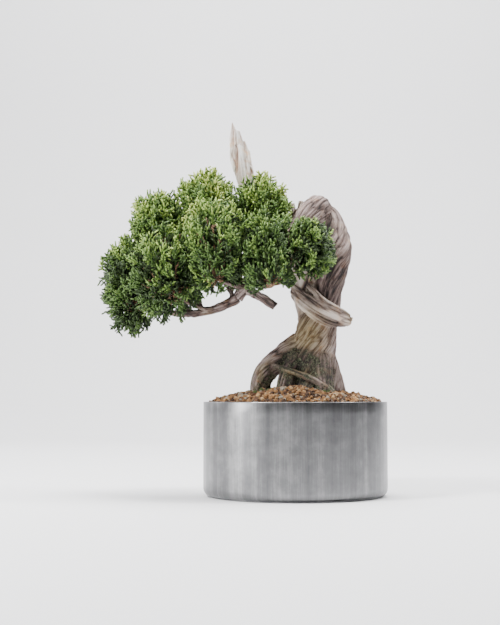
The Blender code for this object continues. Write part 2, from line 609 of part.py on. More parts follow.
def twig_pieces(mass, masses, blocks, target):
    """One twig with its sprays, as objects. It stops short where its space ends, or is skipped."""
    length = SPRAY_LENGTH * mass.rng.uniform(0.85, 1.1)
    rolls = mass.rng.uniform(0, math.pi, 2)
    for share in TWIG_SHARES:
        end_point = mass.centre + share * (target - mass.centre)
        end = max(0.35, 1 - length / np.linalg.norm(end_point - mass.fork))
        path = np.array([twig_curve(mass, end_point, t) for t in (0, end / 2, end)])
        outer = path[mass.depth(path) > 0.5]
        ahead, across, _ = spray_frame(mass, end_point, end, rolls[0])
        tip_spray = blade(path[-1], ahead, across, length)
        if in_own_space(mass, masses, blocks, np.vstack([outer, tip_spray[0][1:]])):
            break
    else:
        return []
    sprays = [tip_spray]
    for along, angle in SIDE_SPRAYS:
        ahead, across, _ = spray_frame(mass, end_point, along * end, rolls[1])
        turned = math.radians(angle)
        heading = math.cos(turned) * ahead + math.sin(turned) * across
        facing = math.cos(turned) * across - math.sin(turned) * ahead
        side_spray = blade(twig_curve(mass, end_point, along * end), heading, facing, SIDE_SIZE * length)
        if in_own_space(mass, masses, blocks, side_spray[0][1:]):
            sprays.append(side_spray)
    way = unit(path[-1] - path[0])
    reference = (0, 1, 0) if abs(way[1]) < 0.7 else (1, 0, 0)
    rings = [[*p, TWIG_RADIUS * (1.15 - 0.25 * k)] for k, p in enumerate(path)]
    shapes = [*sprays, tube(rings, reference, 3)]
    return [new_object("spray", points, facing_out(points, faces), GREEN, smooth=False)
            for points, faces in shapes]


def spray_frame(mass, end_point, t, roll):
    """The way a twig runs at a share of its length, and two directions across it turned by a roll."""
    ahead = unit(twig_curve(mass, end_point, min(1.0, t + 0.1)) - twig_curve(mass, end_point, t))
    across = unit(np.cross(ahead, (0.3, 0.2, 0.93)))
    turned = math.cos(roll) * across + math.sin(roll) * np.cross(ahead, across)
    return ahead, turned, np.cross(ahead, turned)


def main():
    for obj in list(bpy.data.objects):
        bpy.data.objects.remove(obj)
    make_pot()
    make_trunk()
    make_soil()
    make_dead_apex()
    limbs = work_out_limbs()
    make_limbs(limbs)
    blocks = obstacles(limbs)
    masses = [Mass(name, limbs[row[0]], *row[1:], index) for index, (name, row) in enumerate(MASSES.items())]
    for mass in masses:
        make_mass(mass, masses, blocks, limbs)
    whole = bpy.data.objects.new("juniper_bonsai", None)
    bpy.context.scene.collection.objects.link(whole)
    for obj in list(bpy.context.scene.collection.objects):
        if obj is not whole:
            obj.parent = whole


main()
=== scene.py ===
"""The looks of a shohin juniper bonsai in a round metal pot, in the frame of its solids.

The trunk, the boughs and the foliage grow from the same named sizes and by the same rules as the solids,
carried to finer twigs. Sizes are in millimetres, and MM turns them into metres.
"""

import math

import bmesh
import bpy
import numpy as np
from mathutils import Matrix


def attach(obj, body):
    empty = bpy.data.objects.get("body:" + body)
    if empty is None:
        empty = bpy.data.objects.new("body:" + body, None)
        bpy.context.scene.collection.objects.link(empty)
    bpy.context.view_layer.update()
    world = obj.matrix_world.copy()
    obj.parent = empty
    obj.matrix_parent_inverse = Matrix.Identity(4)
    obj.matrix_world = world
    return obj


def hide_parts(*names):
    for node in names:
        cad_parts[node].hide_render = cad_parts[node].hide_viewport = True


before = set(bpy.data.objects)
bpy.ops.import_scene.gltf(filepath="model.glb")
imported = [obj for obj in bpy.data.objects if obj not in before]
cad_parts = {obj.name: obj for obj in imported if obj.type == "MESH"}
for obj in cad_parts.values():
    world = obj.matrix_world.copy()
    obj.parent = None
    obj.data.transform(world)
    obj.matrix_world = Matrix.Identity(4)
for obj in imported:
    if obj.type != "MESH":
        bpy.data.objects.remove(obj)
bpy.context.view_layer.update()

MM = 0.001
GOLDEN_ANGLE = math.pi * (3 - math.sqrt(5))
SEED = 41

# The pot
POT_RADIUS = 70.0
POT_HEIGHT = 71.5
POT_WALL = 3.0
POT_FLOOR = 4.0
POT_SIDES = 192
STREAK_STRETCH = 0.02
FOOT_INSET = 4.0
FOOT_HEIGHT = 0.9
FOOT_EDGE = 0.6
FOOT_BEVEL = (0.5, 0.25)
FOOT_STEP = 0.1
ROUND_HEIGHT = 7.0
RIM_BEVEL = 0.6
DRAIN_RADIUS = 5.0
DRAIN_CIRCLE = 36.0
DRAIN_COUNT = 3
DRAIN_TURN = 1.71

# The soil
SOIL_EDGE_DEPTH = 1.0
SOIL_CROWN = 10.5
SOIL_SHAPE = 2.6
SOIL_FRONT_BUMP = 3.0
SOIL_BUMP_AT = (-4.0, -34.0)
SOIL_BUMP_REACH = 17.0
SOIL_SIDES = 120
SOIL_GAP = 0.3
BED_DEPTH = 1.2  # how far the mound lies below the tops of its grains
GRAINS = 3600
GRAIN_SIZE = (1.0, 2.1)  # the least and the most radius
GRAIN_SORTS = ((0.7, 1.0, 1.3), (0.3, 0.5, 0.2))  # sizes, and their shares
GRAIN_LIFT = (-1.2, 0.5)
GRAIN_SINK = 0.4
GRAIN_INSET = 1.6
SOIL_COLOURS = {"ochre": (0.24, 0.12, 0.045), "rust": (0.12, 0.055, 0.023), "sand": (0.40, 0.25, 0.12),
                "umber": (0.06, 0.032, 0.018), "ash": (0.24, 0.2, 0.15), "green": (0.05, 0.07, 0.016)}
SOIL_SHARES = (0.36, 0.27, 0.12, 0.17, 0.08)  # of all the colours but green, which is moss
MOSS_ON_SOIL = (((-24, -14), 90), ((26, -24), 40))  # where, and how far it spreads, squared
GROUND = 77.0  # the height of the trunk's flat cut

# The trunk's strands: stations of x, y, z and radius along each
COLUMN = [(15, 0, 64, 23), (15, 0, 78, 22), (14, 0, 92, 19.5), (13, 0, 106, 17.5), (15, 0, 118, 16.3),
          (16.8, 0, 129, 15.3), (19.5, 1, 140, 12.6), (19, 1, 148, 12.8)]
LEFT_BUTTRESS = [(13, 0, 119, 10), (2, -1, 113, 10), (-8, -2.5, 106.5, 9), (-16.5, -4, 100, 8.3),
                 (-23.5, -5, 92, 8), (-26.3, -5, 82, 7.9), (-27, -5, 66, 9)]
RIGHT_ROOT = [(20, 0, 106, 11), (26, 1, 95, 8.5), (30, 1, 84, 7.5), (33.5, 1, 65, 8)]
FRONT_ROOT = [(17, -6, 106, 10), (20, -15, 94, 8), (22, -20, 82, 7.5), (23, -23, 67, 8.5)]
BACK_ROOT = [(12, 6, 108, 10), (6, 15, 95, 8.5), (-1, 22, 82, 7.5), (-5, 26, 63, 8)]
RIGHT_BACK_ROOT = [(18, 6, 104, 9), (24, 16, 92, 7), (27, 22, 80, 6.5), (28, 24, 62, 7)]
MOSSY_ROOT = [(3, -6, 107, 8), (-3.5, -8, 97, 7), (-5.5, -9.5, 87, 7.6), (-6.5, -11, 76, 9), (-7, -12, 68, 9)]
BRIDGE_ROOT = [(-20, -8, 98, 3), (-14.5, -12, 98, 2.3), (-3, -18, 94.5, 2), (10, -22.5, 89.5, 2.3),
               (22, -25, 83, 3), (30, -27, 74, 3.4)]
DEAD_CORE = [(17, 2, 130, 13), (14, 3, 143, 12), (11, 4, 158, 12.4), (8, 6, 180, 10.5),
             (4.5, 7, 200, 8.5), (2.5, 7, 214, 6.2)]
LIVE_VEIN = [(23, -1, 134, 9), (25.5, -2.5, 145, 9), (26.5, -4, 155, 9.2), (27, -3, 166, 12.6),
             (27, -2, 178, 16), (27.3, -1, 190, 16.8), (27.3, 2, 202, 13.2), (25.5, 4, 211.5, 10.2),
             (20, 4.5, 219, 8)]
TURNED_LIMB = [(24, 4, 218.5, 6.5), (18.7, -3, 219.6, 10.2), (14.5, -11, 216.3, 10.7), (8, -19, 208, 9.3),
               (2.5, -25, 198, 7.8)]
STUB_LEFT = [(1, 7, 206, 4), (-1, 6.4, 217, 3), (-1.6, 6, 225.3, 1.9)]
STUB_RIGHT = [(4, 7, 206, 4.2), (4.6, 6, 218, 3.1), (5.2, 5.6, 227, 1.9)]

# The shelf of dead wood that winds round the neck: stations of x, y, z, half thickness and half height
SHELF = [(2, 9, 158, 3, 4.5), (-0.5, -2, 155.5, 3.5, 6), (6, -10.5, 149, 4.6, 6.6),
         (16.5, -15, 140.7, 5.2, 7.8), (27.5, -14, 135.3, 5.5, 7.8), (36.5, -7, 134, 5.2, 6.2),
         (39, 3, 134.5, 4.5, 5), (30, 13, 138, 4.5, 5.5),
         (14, 16, 146, 4, 5.5), (6, 13, 153, 3, 4)]
SHELF_LIP = [(31, -9, 136.5, 4.5), (38, -5, 135.3, 3.8), (43.4, -2.6, 134.2, 1.5)]
SHELF_ROPE = [(10, -8, 160.5, 2), (14, -12.5, 156, 2.2), (20.5, -15.5, 148.5, 2.2), (29, -14.5, 142.8, 2.3),
              (37, -8.5, 139.5, 2), (41.5, -3.5, 137, 1.6)]

# The dead apex, in splinters: stations of x, y, z, half width and half thickness
DEAD_APEX = [(-1, 10.5, 190, 6, 5.5), (-13, 14, 206, 7.2, 6), (-25, 15.5, 220, 7.2, 6),
             (-35, 15.5, 238, 7, 5.6), (-42.3, 15, 260, 7.8, 4.6), (-44.6, 15, 270, 6.6, 3.8)]
SPLINTERS = [[(-43, 15, 258, 5, 4), (-46.6, 15, 272, 4.4, 3.2), (-47.8, 14.6, 282, 3, 2.3),
              (-49, 14.4, 291.5, 0.6, 0.6)],
             [(-41, 15, 256, 5, 3.6), (-43.2, 14.6, 272, 4.2, 2.8), (-44.6, 14.4, 284.6, 1.5, 1.2)],
             [(-38.5, 15, 252, 4.8, 3.8), (-39.5, 15.2, 266, 4, 3), (-40.2, 15.4, 276.5, 1.4, 1.2)],
             [(-36, 15.5, 246, 4.4, 3.6), (-36.4, 15.8, 260, 3, 2.6), (-36.6, 16, 268.5, 1.1, 1)],
             [(-45, 15, 256, 4, 3.4), (-48.2, 14.8, 263, 2.8, 2.8), (-49.8, 14.6, 268, 1.3, 1.3)]]

# The live limbs: the limb that carries each, how far along it, the bow of the middle, the tip and the radii
LIMBS = {
    "bough_descending": ("trunk", 1.0, (-1, -2.5, 2), (-43, -25, 149), 7.4, 4.4),
    "bough_left": ("bough_descending", 1.0, (2, -1.5, -9), (-114, -8, 145), 4.1, 1.6),
    "bough_stub": ("bough_descending", 0.88, (0, 0, 1), (-14.5, -27.5, 142.3), 3.9, 3.1),
    "bough_top": ("bough_descending", 0.93, (5, 2, 2), (-62, -5, 197), 2.7, 1.5),
    "bough_top_right": ("bough_descending", 0.5, (1.5, 0, 1), (-25, -12, 193), 2.6, 1.6),
    "bough_right": ("bough_descending", 0.7, (2, -5, -3), (-3, -40, 175), 2.6, 1.5),
    "bough_front": ("bough_descending", 0.85, (2, -3, -1.5), (-53, -42, 160), 2.3, 1.5),
    "bough_front_right": ("bough_descending", 0.72, (0, -2, -2), (-21, -42, 156), 2.2, 1.5),
    "bough_back": ("bough_left", 0.1, (6, 2, -4), (-60, 30, 171), 2.7, 1.5),
    "bough_upper_left": ("bough_left", 0.4, (1, 0, 3), (-99, 0, 189), 2.2, 1.4),
    "bough_front_left": ("bough_left", 0.28, (2, -3, -3), (-85, -31, 149), 1.9, 1.4),
    "bough_back_left": ("bough_left", 0.5, (5, 2, -4), (-98, 27, 156), 1.8, 1.3),
    "bough_back_right": ("bough_back", 0.4, (3, 3, -2), (-23, 31, 178), 2.0, 1.4),
}

# The masses of foliage: the bough that carries each, its centre, its reach each way and how low its twigs go
MASSES = {
    "foliage_left_tip": ("bough_left", (-128, -4, 161), (24, 33, 42), -0.97),
    "foliage_upper_left": ("bough_upper_left", (-103.5, 2, 207), (26, 35, 31), -0.6),
    "foliage_top": ("bough_top", (-68.5, 0, 218), (26, 35, 36), -0.6),
    "foliage_top_right": ("bough_top_right", (-25, -8, 213), (27, 31, 36), -0.6),
    "foliage_right": ("bough_right", (8.5, -41, 184), (24, 22, 24), -0.8),
    "foliage_front": ("bough_front", (-57, -37, 186), (30, 30, 41), -0.9),
    "foliage_front_left": ("bough_front_left", (-97, -31, 168), (32, 32, 40), -0.9),
    "foliage_front_right": ("bough_front_right", (-20, -41, 182), (27, 26, 35), -0.9),
    "foliage_back": ("bough_back", (-64, 35, 198), (31, 31, 43), -0.9),
    "foliage_back_left": ("bough_back_left", (-102, 31, 181), (31, 31, 39), -0.9),
    "foliage_back_right": ("bough_back_right", (-21, 34, 198), (30, 28, 36), -0.9),
}
STEM_LENGTH = 5.0
STEM_RADII = (1.3, 1.1)
CROWN_MIDDLE = (-60.0, 0.0, 190.0)
CROWN_REACH = (90.0, 60.0, 45.0)

# The twigs and leaves, finer than in the solids
TWIGS = 48
TWIG_SHARES = (1.0, 0.93, 0.86, 0.79, 0.72, 0.65)  # how much of its way a twig goes, the first that fits
TWIG_REACH = (1.03, 0.27)  # the furthest, as a share of the mass, and how much less the shortest go
TWIG_BOW = (0.45, 0.10)  # where a twig bows up, and how much
TWIG_RADIUS = 0.75
TWIG_TAPER = (1.25, 0.7)
TWIG_CLEAR_FROM = 0.5  # nearer the middle than this, twigs may cross
LEAST_TWIG = 0.35
SIDE_TWIG = (2.0, 7.0)
SIDE_TWIG_RADII = (0.6, 0.55, 0.55)
SPRAY_LENGTH = 19.0
SPRAY_SHARES = (0.8, 1.3)
SIDE_SPRAY_SHARES = (0.75, 1.05)
SIDE_SPRAYS = ((0.98, 45), (0.92, -45), (0.8, 50), (0.68, -55), (0.5, 58))  # how far along, and the angle
SPRAY_KINDS = 9
UPWARD = 0.35  # how much a spray turns up from the way its twig runs
SHORTENED = 0.55  # what is left of a cord that would leave the mass
SPACE_REACH = 1.02
SPACE_MARGIN = 0.004
ROUNDNESS = 2.2  # 2 makes a mass an ellipsoid, and more fills its corners
LIMB_CLEARANCE = 1.2
CORD_RADIUS = 0.7
CORD_SIDES = 3
CORD_RINGS = ((0.0, 0.8), (0.5, 1.05), (0.87, 0.95))  # how far along, and how wide
AXIS_LENGTH = 0.62  # of a spray that is one long
NEVER_ALONG = (0.3, 0.2, 0.93)  # a direction that hardly any twig takes
CORD_LIFT = (-0.3, 0.4)
CORD_TURN = (24, 40)
CORD_CHANGE = (0.85, 1.15)
# By how many times it may fork again: where cords leave a cord, their length, and how much it falls along it
CORD_FORKS = {2: ((0.2, 0.4, 0.58, 0.76, 0.93), 0.50, 0.18), 1: ((0.4, 0.72), 0.26, 0.0)}
# Each green, for a spray's cords and for their younger tips. The greens run from painted shade to painted
# light, and a spray takes one by where light falls on the crown.
GREENS = {"shade": ((0.013, 0.026, 0.007), (0.034, 0.062, 0.014)),
          "deep": ((0.030, 0.064, 0.013), (0.082, 0.145, 0.030)),
          "middle": ((0.052, 0.110, 0.019), (0.155, 0.245, 0.048)),
          "lit": ((0.088, 0.165, 0.026), (0.270, 0.375, 0.078)),
          "yellow": ((0.140, 0.210, 0.033), (0.390, 0.470, 0.110))}
# The sprays' greens are painted light and shade: lighter outward, higher up and to the left, where the light
# falls, and darker inside, below and on the right.
GREEN_START = 1.35
PAINTED_LIGHT_OUTWARD = (2.8, 0.75)  # how much lighter outward, and from where
PAINTED_LIGHT_HIGH = 1.35
PAINTED_LIGHT_LEFT = 0.35
GREEN_SPREAD = 0.8

# The wood's mesh
VOXEL = 0.48
FINE_VOXEL = 0.36
FACES_KEPT = 0.52
TRUNK_LIMBS = ("bough_descending", "bough_stub")

# Places on the wood that are mossy, pale, stained or dark: the centre and reach of each. The dark of the
# hollow, crease, fold and bulb is painted shade, and the pale of the bulb's top is painted light.
PATCHES = {
    "hollow": ((8, -17, 92), (25, 19, 17)),
    "hollow_top": ((1, -16, 102), (13, 16, 9)),
    "left_foot": ((-25, -8, 82), (13, 16, 15)),
    "right_foot": ((24, -26, 79), (9, 12, 8)),
    "neck": ((8, -14, 122), (17, 20, 18)),
    "bridge": ((2, -19, 93), (24, 6, 4)),
    "shelf_end": ((42, -4, 135), (7, 8, 6)),
    "left_root": ((-25, -10, 90), (9, 14, 16)),
    "scar": ((23, -17, 112), (8, 12, 8)),
    # Painted light: the bulb's top, where the light falls, is made pale.
    "lit_bulb_top": ((34, -6, 202), (16, 20, 22)),
    # Painted shade on the bulb's lower side.
    "bulb": ((31, -12, 163), (14, 20, 20)),
    # Painted shade in a crease and a fold.
    "crease_shade": ((27, -12, 205), (4, 12, 8)),
    "fold_shade": ((19, -16, 199), (9, 10, 3.5)),
    "stub": ((-17, -27, 143), (9, 9, 7)),
    "apex_left": ((-50, 12, 268), (4, 6, 5)),
    "apex_right": ((-38, 15, 272), (4, 6, 12)),
}

# Tones, each a list of stops of place and colour
BARK_TONES = [(0.34, (0.008, 0.005, 0.004)), (0.50, (0.050, 0.031, 0.026)), (0.66, (0.15, 0.103, 0.09)),
              (0.86, (0.36, 0.285, 0.26))]
BARE_TONES = [(0.30, (0.016, 0.010, 0.008)), (0.47, (0.11, 0.076, 0.062)), (0.64, (0.29, 0.225, 0.185)),
              (0.86, (0.60, 0.52, 0.45))]
APEX_TONES = [(0.20, (0.10, 0.06, 0.05)), (0.40, (0.40, 0.27, 0.20)), (0.58, (0.60, 0.52, 0.47)),
              (0.82, (0.82, 0.79, 0.75))]
LICHEN_TONES = [(0.34, (0.030, 0.019, 0.008)), (0.56, (0.15, 0.10, 0.04)), (0.84, (0.36, 0.29, 0.15))]
STAIN_TONES = [(0.0, (1.0, 1.0, 1.0)), (1.0, (1.0, 0.74, 0.50))]
MOSS_TONES = [(0.38, (0.008, 0.010, 0.006)), (0.5, (0.034, 0.042, 0.018)), (0.68, (0.19, 0.19, 0.11))]
TWIG_TONES = [(0.2, (0.05, 0.03, 0.018)), (0.5, (0.17, 0.095, 0.05)), (0.8, (0.33, 0.2, 0.11))]
METAL_TONES = [(0.3, (0.10, 0.10, 0.103)), (0.5, (0.19, 0.19, 0.194)), (0.72, (0.40, 0.40, 0.395))]
WORLD_TONES = [(0.2, (0.015, 0.015, 0.017)), (0.5, (0.07, 0.073, 0.08)), (0.85, (0.6, 0.6, 0.63))]
BACKDROP_TONES = [(0.0, (0.84, 0.84, 0.85)), (1.0, (0.90, 0.90, 0.91))]

# The studio. A light has a name, a place, what it faces, a size and a power in watts
BRIGHT_SIDE = (-0.62, 0.62, 0.48)
AIM = (-20, 0, 150)
LIGHTS = (("key", (-750, -550, 1000), AIM, 280, 25.0), ("top", (50, -150, 1200), AIM, 350, 9.0),
          ("back_left", (-1100, 500, 500), AIM, 500, 5.0), ("right", (900, -100, 950), AIM, 280, 13.0),
          ("left_strip", (-1300, -550, 300), (0, 0, 120), 300, 9.0),
          ("backdrop_light", (0, 500, 2200), (0, 1900, 600), 1500, 125.0))
STAGE_COLOUR = (0.8, 0.8, 0.81)
STAGE_WIDTH = 8000.0
STAGE_FRONT = -3000.0
STAGE_BEND = (1200.0, 800.0)  # where the floor begins to curve up, and the radius
STAGE_TOP = 3500.0
CAMERA_PLACE = (0, -958, 75)
CAMERA_TILT = 93.87
LENS = 72.0
SENSOR = 36.0
IMAGE_HEIGHT = 625
PIXELS_OFF_AXIS = 45


def noise(points, size, seed=0):
    """Smooth noise from -1 to 1 at these points, between values hashed from the corners of cells."""
    spots = np.asarray(points, float) / size + 31.7 * seed
    cells = np.floor(spots).astype(np.int64)
    part = spots - cells
    part = part * part * (3 - 2 * part)
    total = np.zeros(len(spots))
    for corner in np.ndindex(2, 2, 2):
        at = cells + np.array(corner)
        mixed = (at[:, 0] * 73856093) ^ (at[:, 1] * 19349663) ^ (at[:, 2] * 83492791)
        mixed = ((mixed ^ (mixed >> 13)) * 1274126177) & 0x7FFFFFFF
        value = ((mixed ^ (mixed >> 16)) & 0xFFFF) / 32767.5 - 1
        weight = np.prod(np.where(np.array(corner) == 1, part, 1 - part), axis=1)
        total += weight * value
    return total


def unit(v):
    """The vector v at length one."""
    return v / np.linalg.norm(v)


def smooth_stations(stations, per_span):
    """Points between the stations, on a Catmull-Rom curve through all of them."""
    s = np.array(stations, float)
    s = np.vstack([2 * s[0] - s[1], s, 2 * s[-1] - s[-2]])
    made = []
    for k in range(1, len(s) - 2):
        a, b, c, d = s[k - 1 : k + 3]
        for t in np.arange(per_span) / per_span:
            made.append(0.5 * (2 * b + (c - a) * t + (2 * a - 5 * b + 4 * c - d) * t**2
                               + (3 * b - a - 3 * c + d) * t**3))
    made.append(s[-2])
    return np.array(made)


def across(vectors, reference):
    """Unit vectors square to these and to the reference."""
    made = np.cross(vectors, reference)
    return made / np.linalg.norm(made, axis=1)[:, None]


def new_piece(name, points, faces, materials, smooth=True, slots=None):
    """A piece whose mesh has these points, in millimetres, and whose faces take these material slots."""
    mesh = bpy.data.meshes.new(name)
    mesh.from_pydata((np.asarray(points, float) * MM).tolist(), [], faces)
    for finish in materials:
        mesh.materials.append(finish)
    if slots is not None:
        mesh.polygons.foreach_set("material_index", np.asarray(slots, np.int32))
    obj = bpy.data.objects.new(name, mesh)
    bpy.context.scene.collection.objects.link(obj)
    if smooth:
        mesh.shade_smooth()
    return obj


def modify(obj, kind, **settings):
    """Puts the object through one modifier with these settings, and keeps the mesh that it makes."""
    modifier = obj.modifiers.new(kind.lower(), kind)
    for name, value in settings.items():
        setattr(modifier, name, value)
    graph = bpy.context.evaluated_depsgraph_get()
    old, obj.data = obj.data, bpy.data.meshes.new_from_object(obj.evaluated_get(graph))
    obj.modifiers.clear()
    obj.data.name = obj.name
    bpy.data.meshes.remove(old)


class Heap:
    """Many small meshes gathered into one."""

    def __init__(self):
        self.points, self.faces, self.slots, self.count = [], [], [], 0

    def add(self, points, faces, slots=None):
        """Adds one small mesh, of the first material unless its faces' slots are given."""
        self.faces += [[i + self.count for i in f] for f in faces]
        self.points.append(points)
        self.slots += [0] * len(faces) if slots is None else slots
        self.count += len(points)

    def piece(self, name, materials, smooth=True):
        """The whole as one piece."""
        return new_piece(name, np.vstack(self.points), self.faces, materials, smooth, self.slots)


def take_on(piece, slot, *nodes):
    """The piece rides on the one body and replaces these nodes. The slot is not used."""
    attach(piece, "root")
    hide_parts(*nodes)


# Materials


def principled(name, colour=(0.5, 0.5, 0.5), roughness=0.6):
    """A new material, its node tree and its shader."""
    made = bpy.data.materials.new(name)
    made.use_nodes = True
    shader = made.node_tree.nodes["Principled BSDF"]
    shader.inputs["Base Color"].default_value = (*colour, 1.0)
    shader.inputs["Roughness"].default_value = roughness
    return made, made.node_tree, shader


def node(tree, kind, inputs, output, **settings):
    """An output of a new node. Its inputs are numbers or sockets, by name or by place."""
    made = tree.nodes.new(kind)
    for name, value in settings.items():
        setattr(made, name, value)
    for key, value in inputs.items():
        if isinstance(value, bpy.types.NodeSocket):
            tree.links.new(value, made.inputs[key])
        else:
            made.inputs[key].default_value = value
    return made.outputs[output]


def attribute(tree, name, output="Fac"):
    """A socket that reads one of the mesh's attributes."""
    return node(tree, "ShaderNodeAttribute", {}, output, attribute_name=name)


def coordinates(tree, kind="Object"):
    """A socket of the place on the object, or with Generated in a world, of the way one looks."""
    return node(tree, "ShaderNodeTexCoord", {}, kind)


def noise_node(tree, vector, scale, detail=4.0, roughness=0.6):
    """A socket of procedural noise."""
    inputs = {"Vector": vector, "Scale": scale, "Detail": detail, "Roughness": roughness}
    return node(tree, "ShaderNodeTexNoise", inputs, "Fac")


def ramp(tree, factor, stops):
    """A colour socket that runs through these stops of place and colour."""
    colour = node(tree, "ShaderNodeValToRGB", {"Fac": factor}, "Color")
    bar = colour.node.color_ramp.elements
    while len(bar) < len(stops):
        bar.new(0.5)
    for element, (place, tone) in zip(bar, stops):
        element.position = place
        element.color = (*tone, 1.0)
    return colour


def blended(tree, factor, first, second, kind="MIX"):
    """A colour socket that goes from the first colour to the second, or to their product."""
    inputs = {0: factor, 6: first, 7: second}
    return node(tree, "ShaderNodeMix", inputs, 2, data_type="RGBA", blend_type=kind)


def figured(tree, operation, *values, clamp=False):
    """A socket of a sum over sockets and numbers."""
    return node(tree, "ShaderNodeMath", dict(enumerate(values)), 0, operation=operation, use_clamp=clamp)


def bumped(tree, shader, height, strength, distance_mm):
    """Gives the shader a bump from this height."""
    inputs = {"Strength": strength, "Distance": distance_mm * MM, "Height": height}
    tree.links.new(node(tree, "ShaderNodeBump", inputs, "Normal"), shader.inputs["Normal"])


def wood_material(name, bark, bare):
    """Stringy bark and bare dead wood, with lichen and moss where the mesh's attributes say, and painted
    shade where its dark attribute says.
    """
    made, tree, shader = principled(name, roughness=0.82)
    grain = attribute(tree, "grain", "Vector")
    fibre = noise_node(tree, grain, 1.15, 6.0, 0.7)
    relief = attribute(tree, "relief")
    # The tone follows the relief: lighter on ridges and darker in grooves, partly the wood's own tone and
    # partly painted shade.
    tone = figured(tree, "MULTIPLY_ADD", relief, 0.62, figured(tree, "MULTIPLY", fibre, 0.5))
    # Painted shade: darker where the dark attribute says, in the hollow, the creases and under the bulb.
    tone = figured(tree, "SUBTRACT", tone, attribute(tree, "dark"), clamp=True)
    colour = blended(tree, attribute(tree, "bare"), ramp(tree, tone, bark), ramp(tree, tone, bare))
    colour = blended(tree, attribute(tree, "lichen"), colour, ramp(tree, tone, LICHEN_TONES))
    place = attribute(tree, "place", "Vector")
    stain = figured(tree, "MULTIPLY_ADD", noise_node(tree, place, 0.13, 4.0), 4.0, -1.9, clamp=True)
    colour = blended(tree, stain, colour, ramp(tree, stain, STAIN_TONES), "MULTIPLY")
    moss = ramp(tree, noise_node(tree, place, 0.9, 3.0), MOSS_TONES)
    colour = blended(tree, attribute(tree, "moss"), colour, moss)
    tree.links.new(colour, shader.inputs["Base Color"])
    bumped(tree, shader, noise_node(tree, grain, 1.9, 4.0), 0.9, 0.55)
    return made


def metal_material():
    """Brushed metal with upright streaks that fade in and out."""
    made, tree, shader = principled("pot_metal", (0.4, 0.4, 0.4), 0.3)
    shader.inputs["Metallic"].default_value = 1.0
    streak = attribute(tree, "streak", "Vector")
    broad = noise_node(tree, streak, 0.12, 3.0)
    fine = noise_node(tree, streak, 2.6, 5.0, 0.7)
    blotch = noise_node(tree, attribute(tree, "place", "Vector"), 0.09, 5.0, 0.65)
    tone = figured(tree, "MULTIPLY_ADD", fine, 0.28, figured(tree, "MULTIPLY", broad, 0.4))
    tone = figured(tree, "MULTIPLY_ADD", blotch, 0.32, tone, clamp=True)
    tree.links.new(ramp(tree, tone, METAL_TONES), shader.inputs["Base Color"])
    tree.links.new(figured(tree, "MULTIPLY_ADD", tone, 0.3, 0.18), shader.inputs["Roughness"])
    bumped(tree, shader, fine, 0.35, 0.05)
    return made


def mottled(name, tones, scale, roughness, bump):
    """A material whose colour runs through these tones by noise, with a bump."""
    made, tree, shader = principled(name, tones[0][1], roughness)
    mottle = noise_node(tree, coordinates(tree), scale, 3.0)
    tree.links.new(ramp(tree, mottle, tones), shader.inputs["Base Color"])
    bumped(tree, shader, mottle, 0.5, bump)
    return made


def around(colour, dark, light):
    """Tones from a darker one of this colour to a lighter one."""
    return [(0.3, tuple(dark * c for c in colour)), (0.7, tuple(min(1.0, light * c) for c in colour))]


# The pot and its soil


def turned(profile, sides):
    """Points and faces of a profile of radius and height, with both ends on the axis, turned round Z."""
    angles = 2 * math.pi * np.arange(sides) / sides
    points = [(0, 0, profile[0][1])]
    for radius, height in profile[1:-1]:
        for a in angles:
            points.append((radius * math.cos(a), radius * math.sin(a), height))
    points.append((0, 0, profile[-1][1]))
    last = len(points) - 1
    faces = [[0, 1 + (j + 1) % sides, 1 + j] for j in range(sides)]
    for k in range(len(profile) - 3):
        low, high = 1 + k * sides, 1 + (k + 1) * sides
        faces += [[low + j, low + (j + 1) % sides, high + (j + 1) % sides, high + j] for j in range(sides)]
    ring = last - sides
    faces += [[ring + j, ring + (j + 1) % sides, last] for j in range(sides)]
    return points, faces


def store(obj, **attributes):
    """Keeps a number or a vector for each of the mesh's points as attributes that its material reads."""
    for name, values in attributes.items():
        kind, field = ("FLOAT_VECTOR", "vector") if np.ndim(values) == 2 else ("FLOAT", "value")
        made = obj.data.attributes.new(name, kind, "POINT")
        if np.ndim(values) == 0:
            values = np.full(len(obj.data.vertices), values)
        made.data.foreach_set(field, values.astype(np.float32).ravel())


def vectors_of(obj, name):
    """A vector of each of the mesh's points, such as co or normal."""
    flat = np.empty(len(obj.data.vertices) * 3, np.float32)
    obj.data.vertices.foreach_get(name, flat)
    return flat.reshape(-1, 3)


def places(obj):
    """The mesh's points, in millimetres."""
    return vectors_of(obj, "co").astype(float) / MM


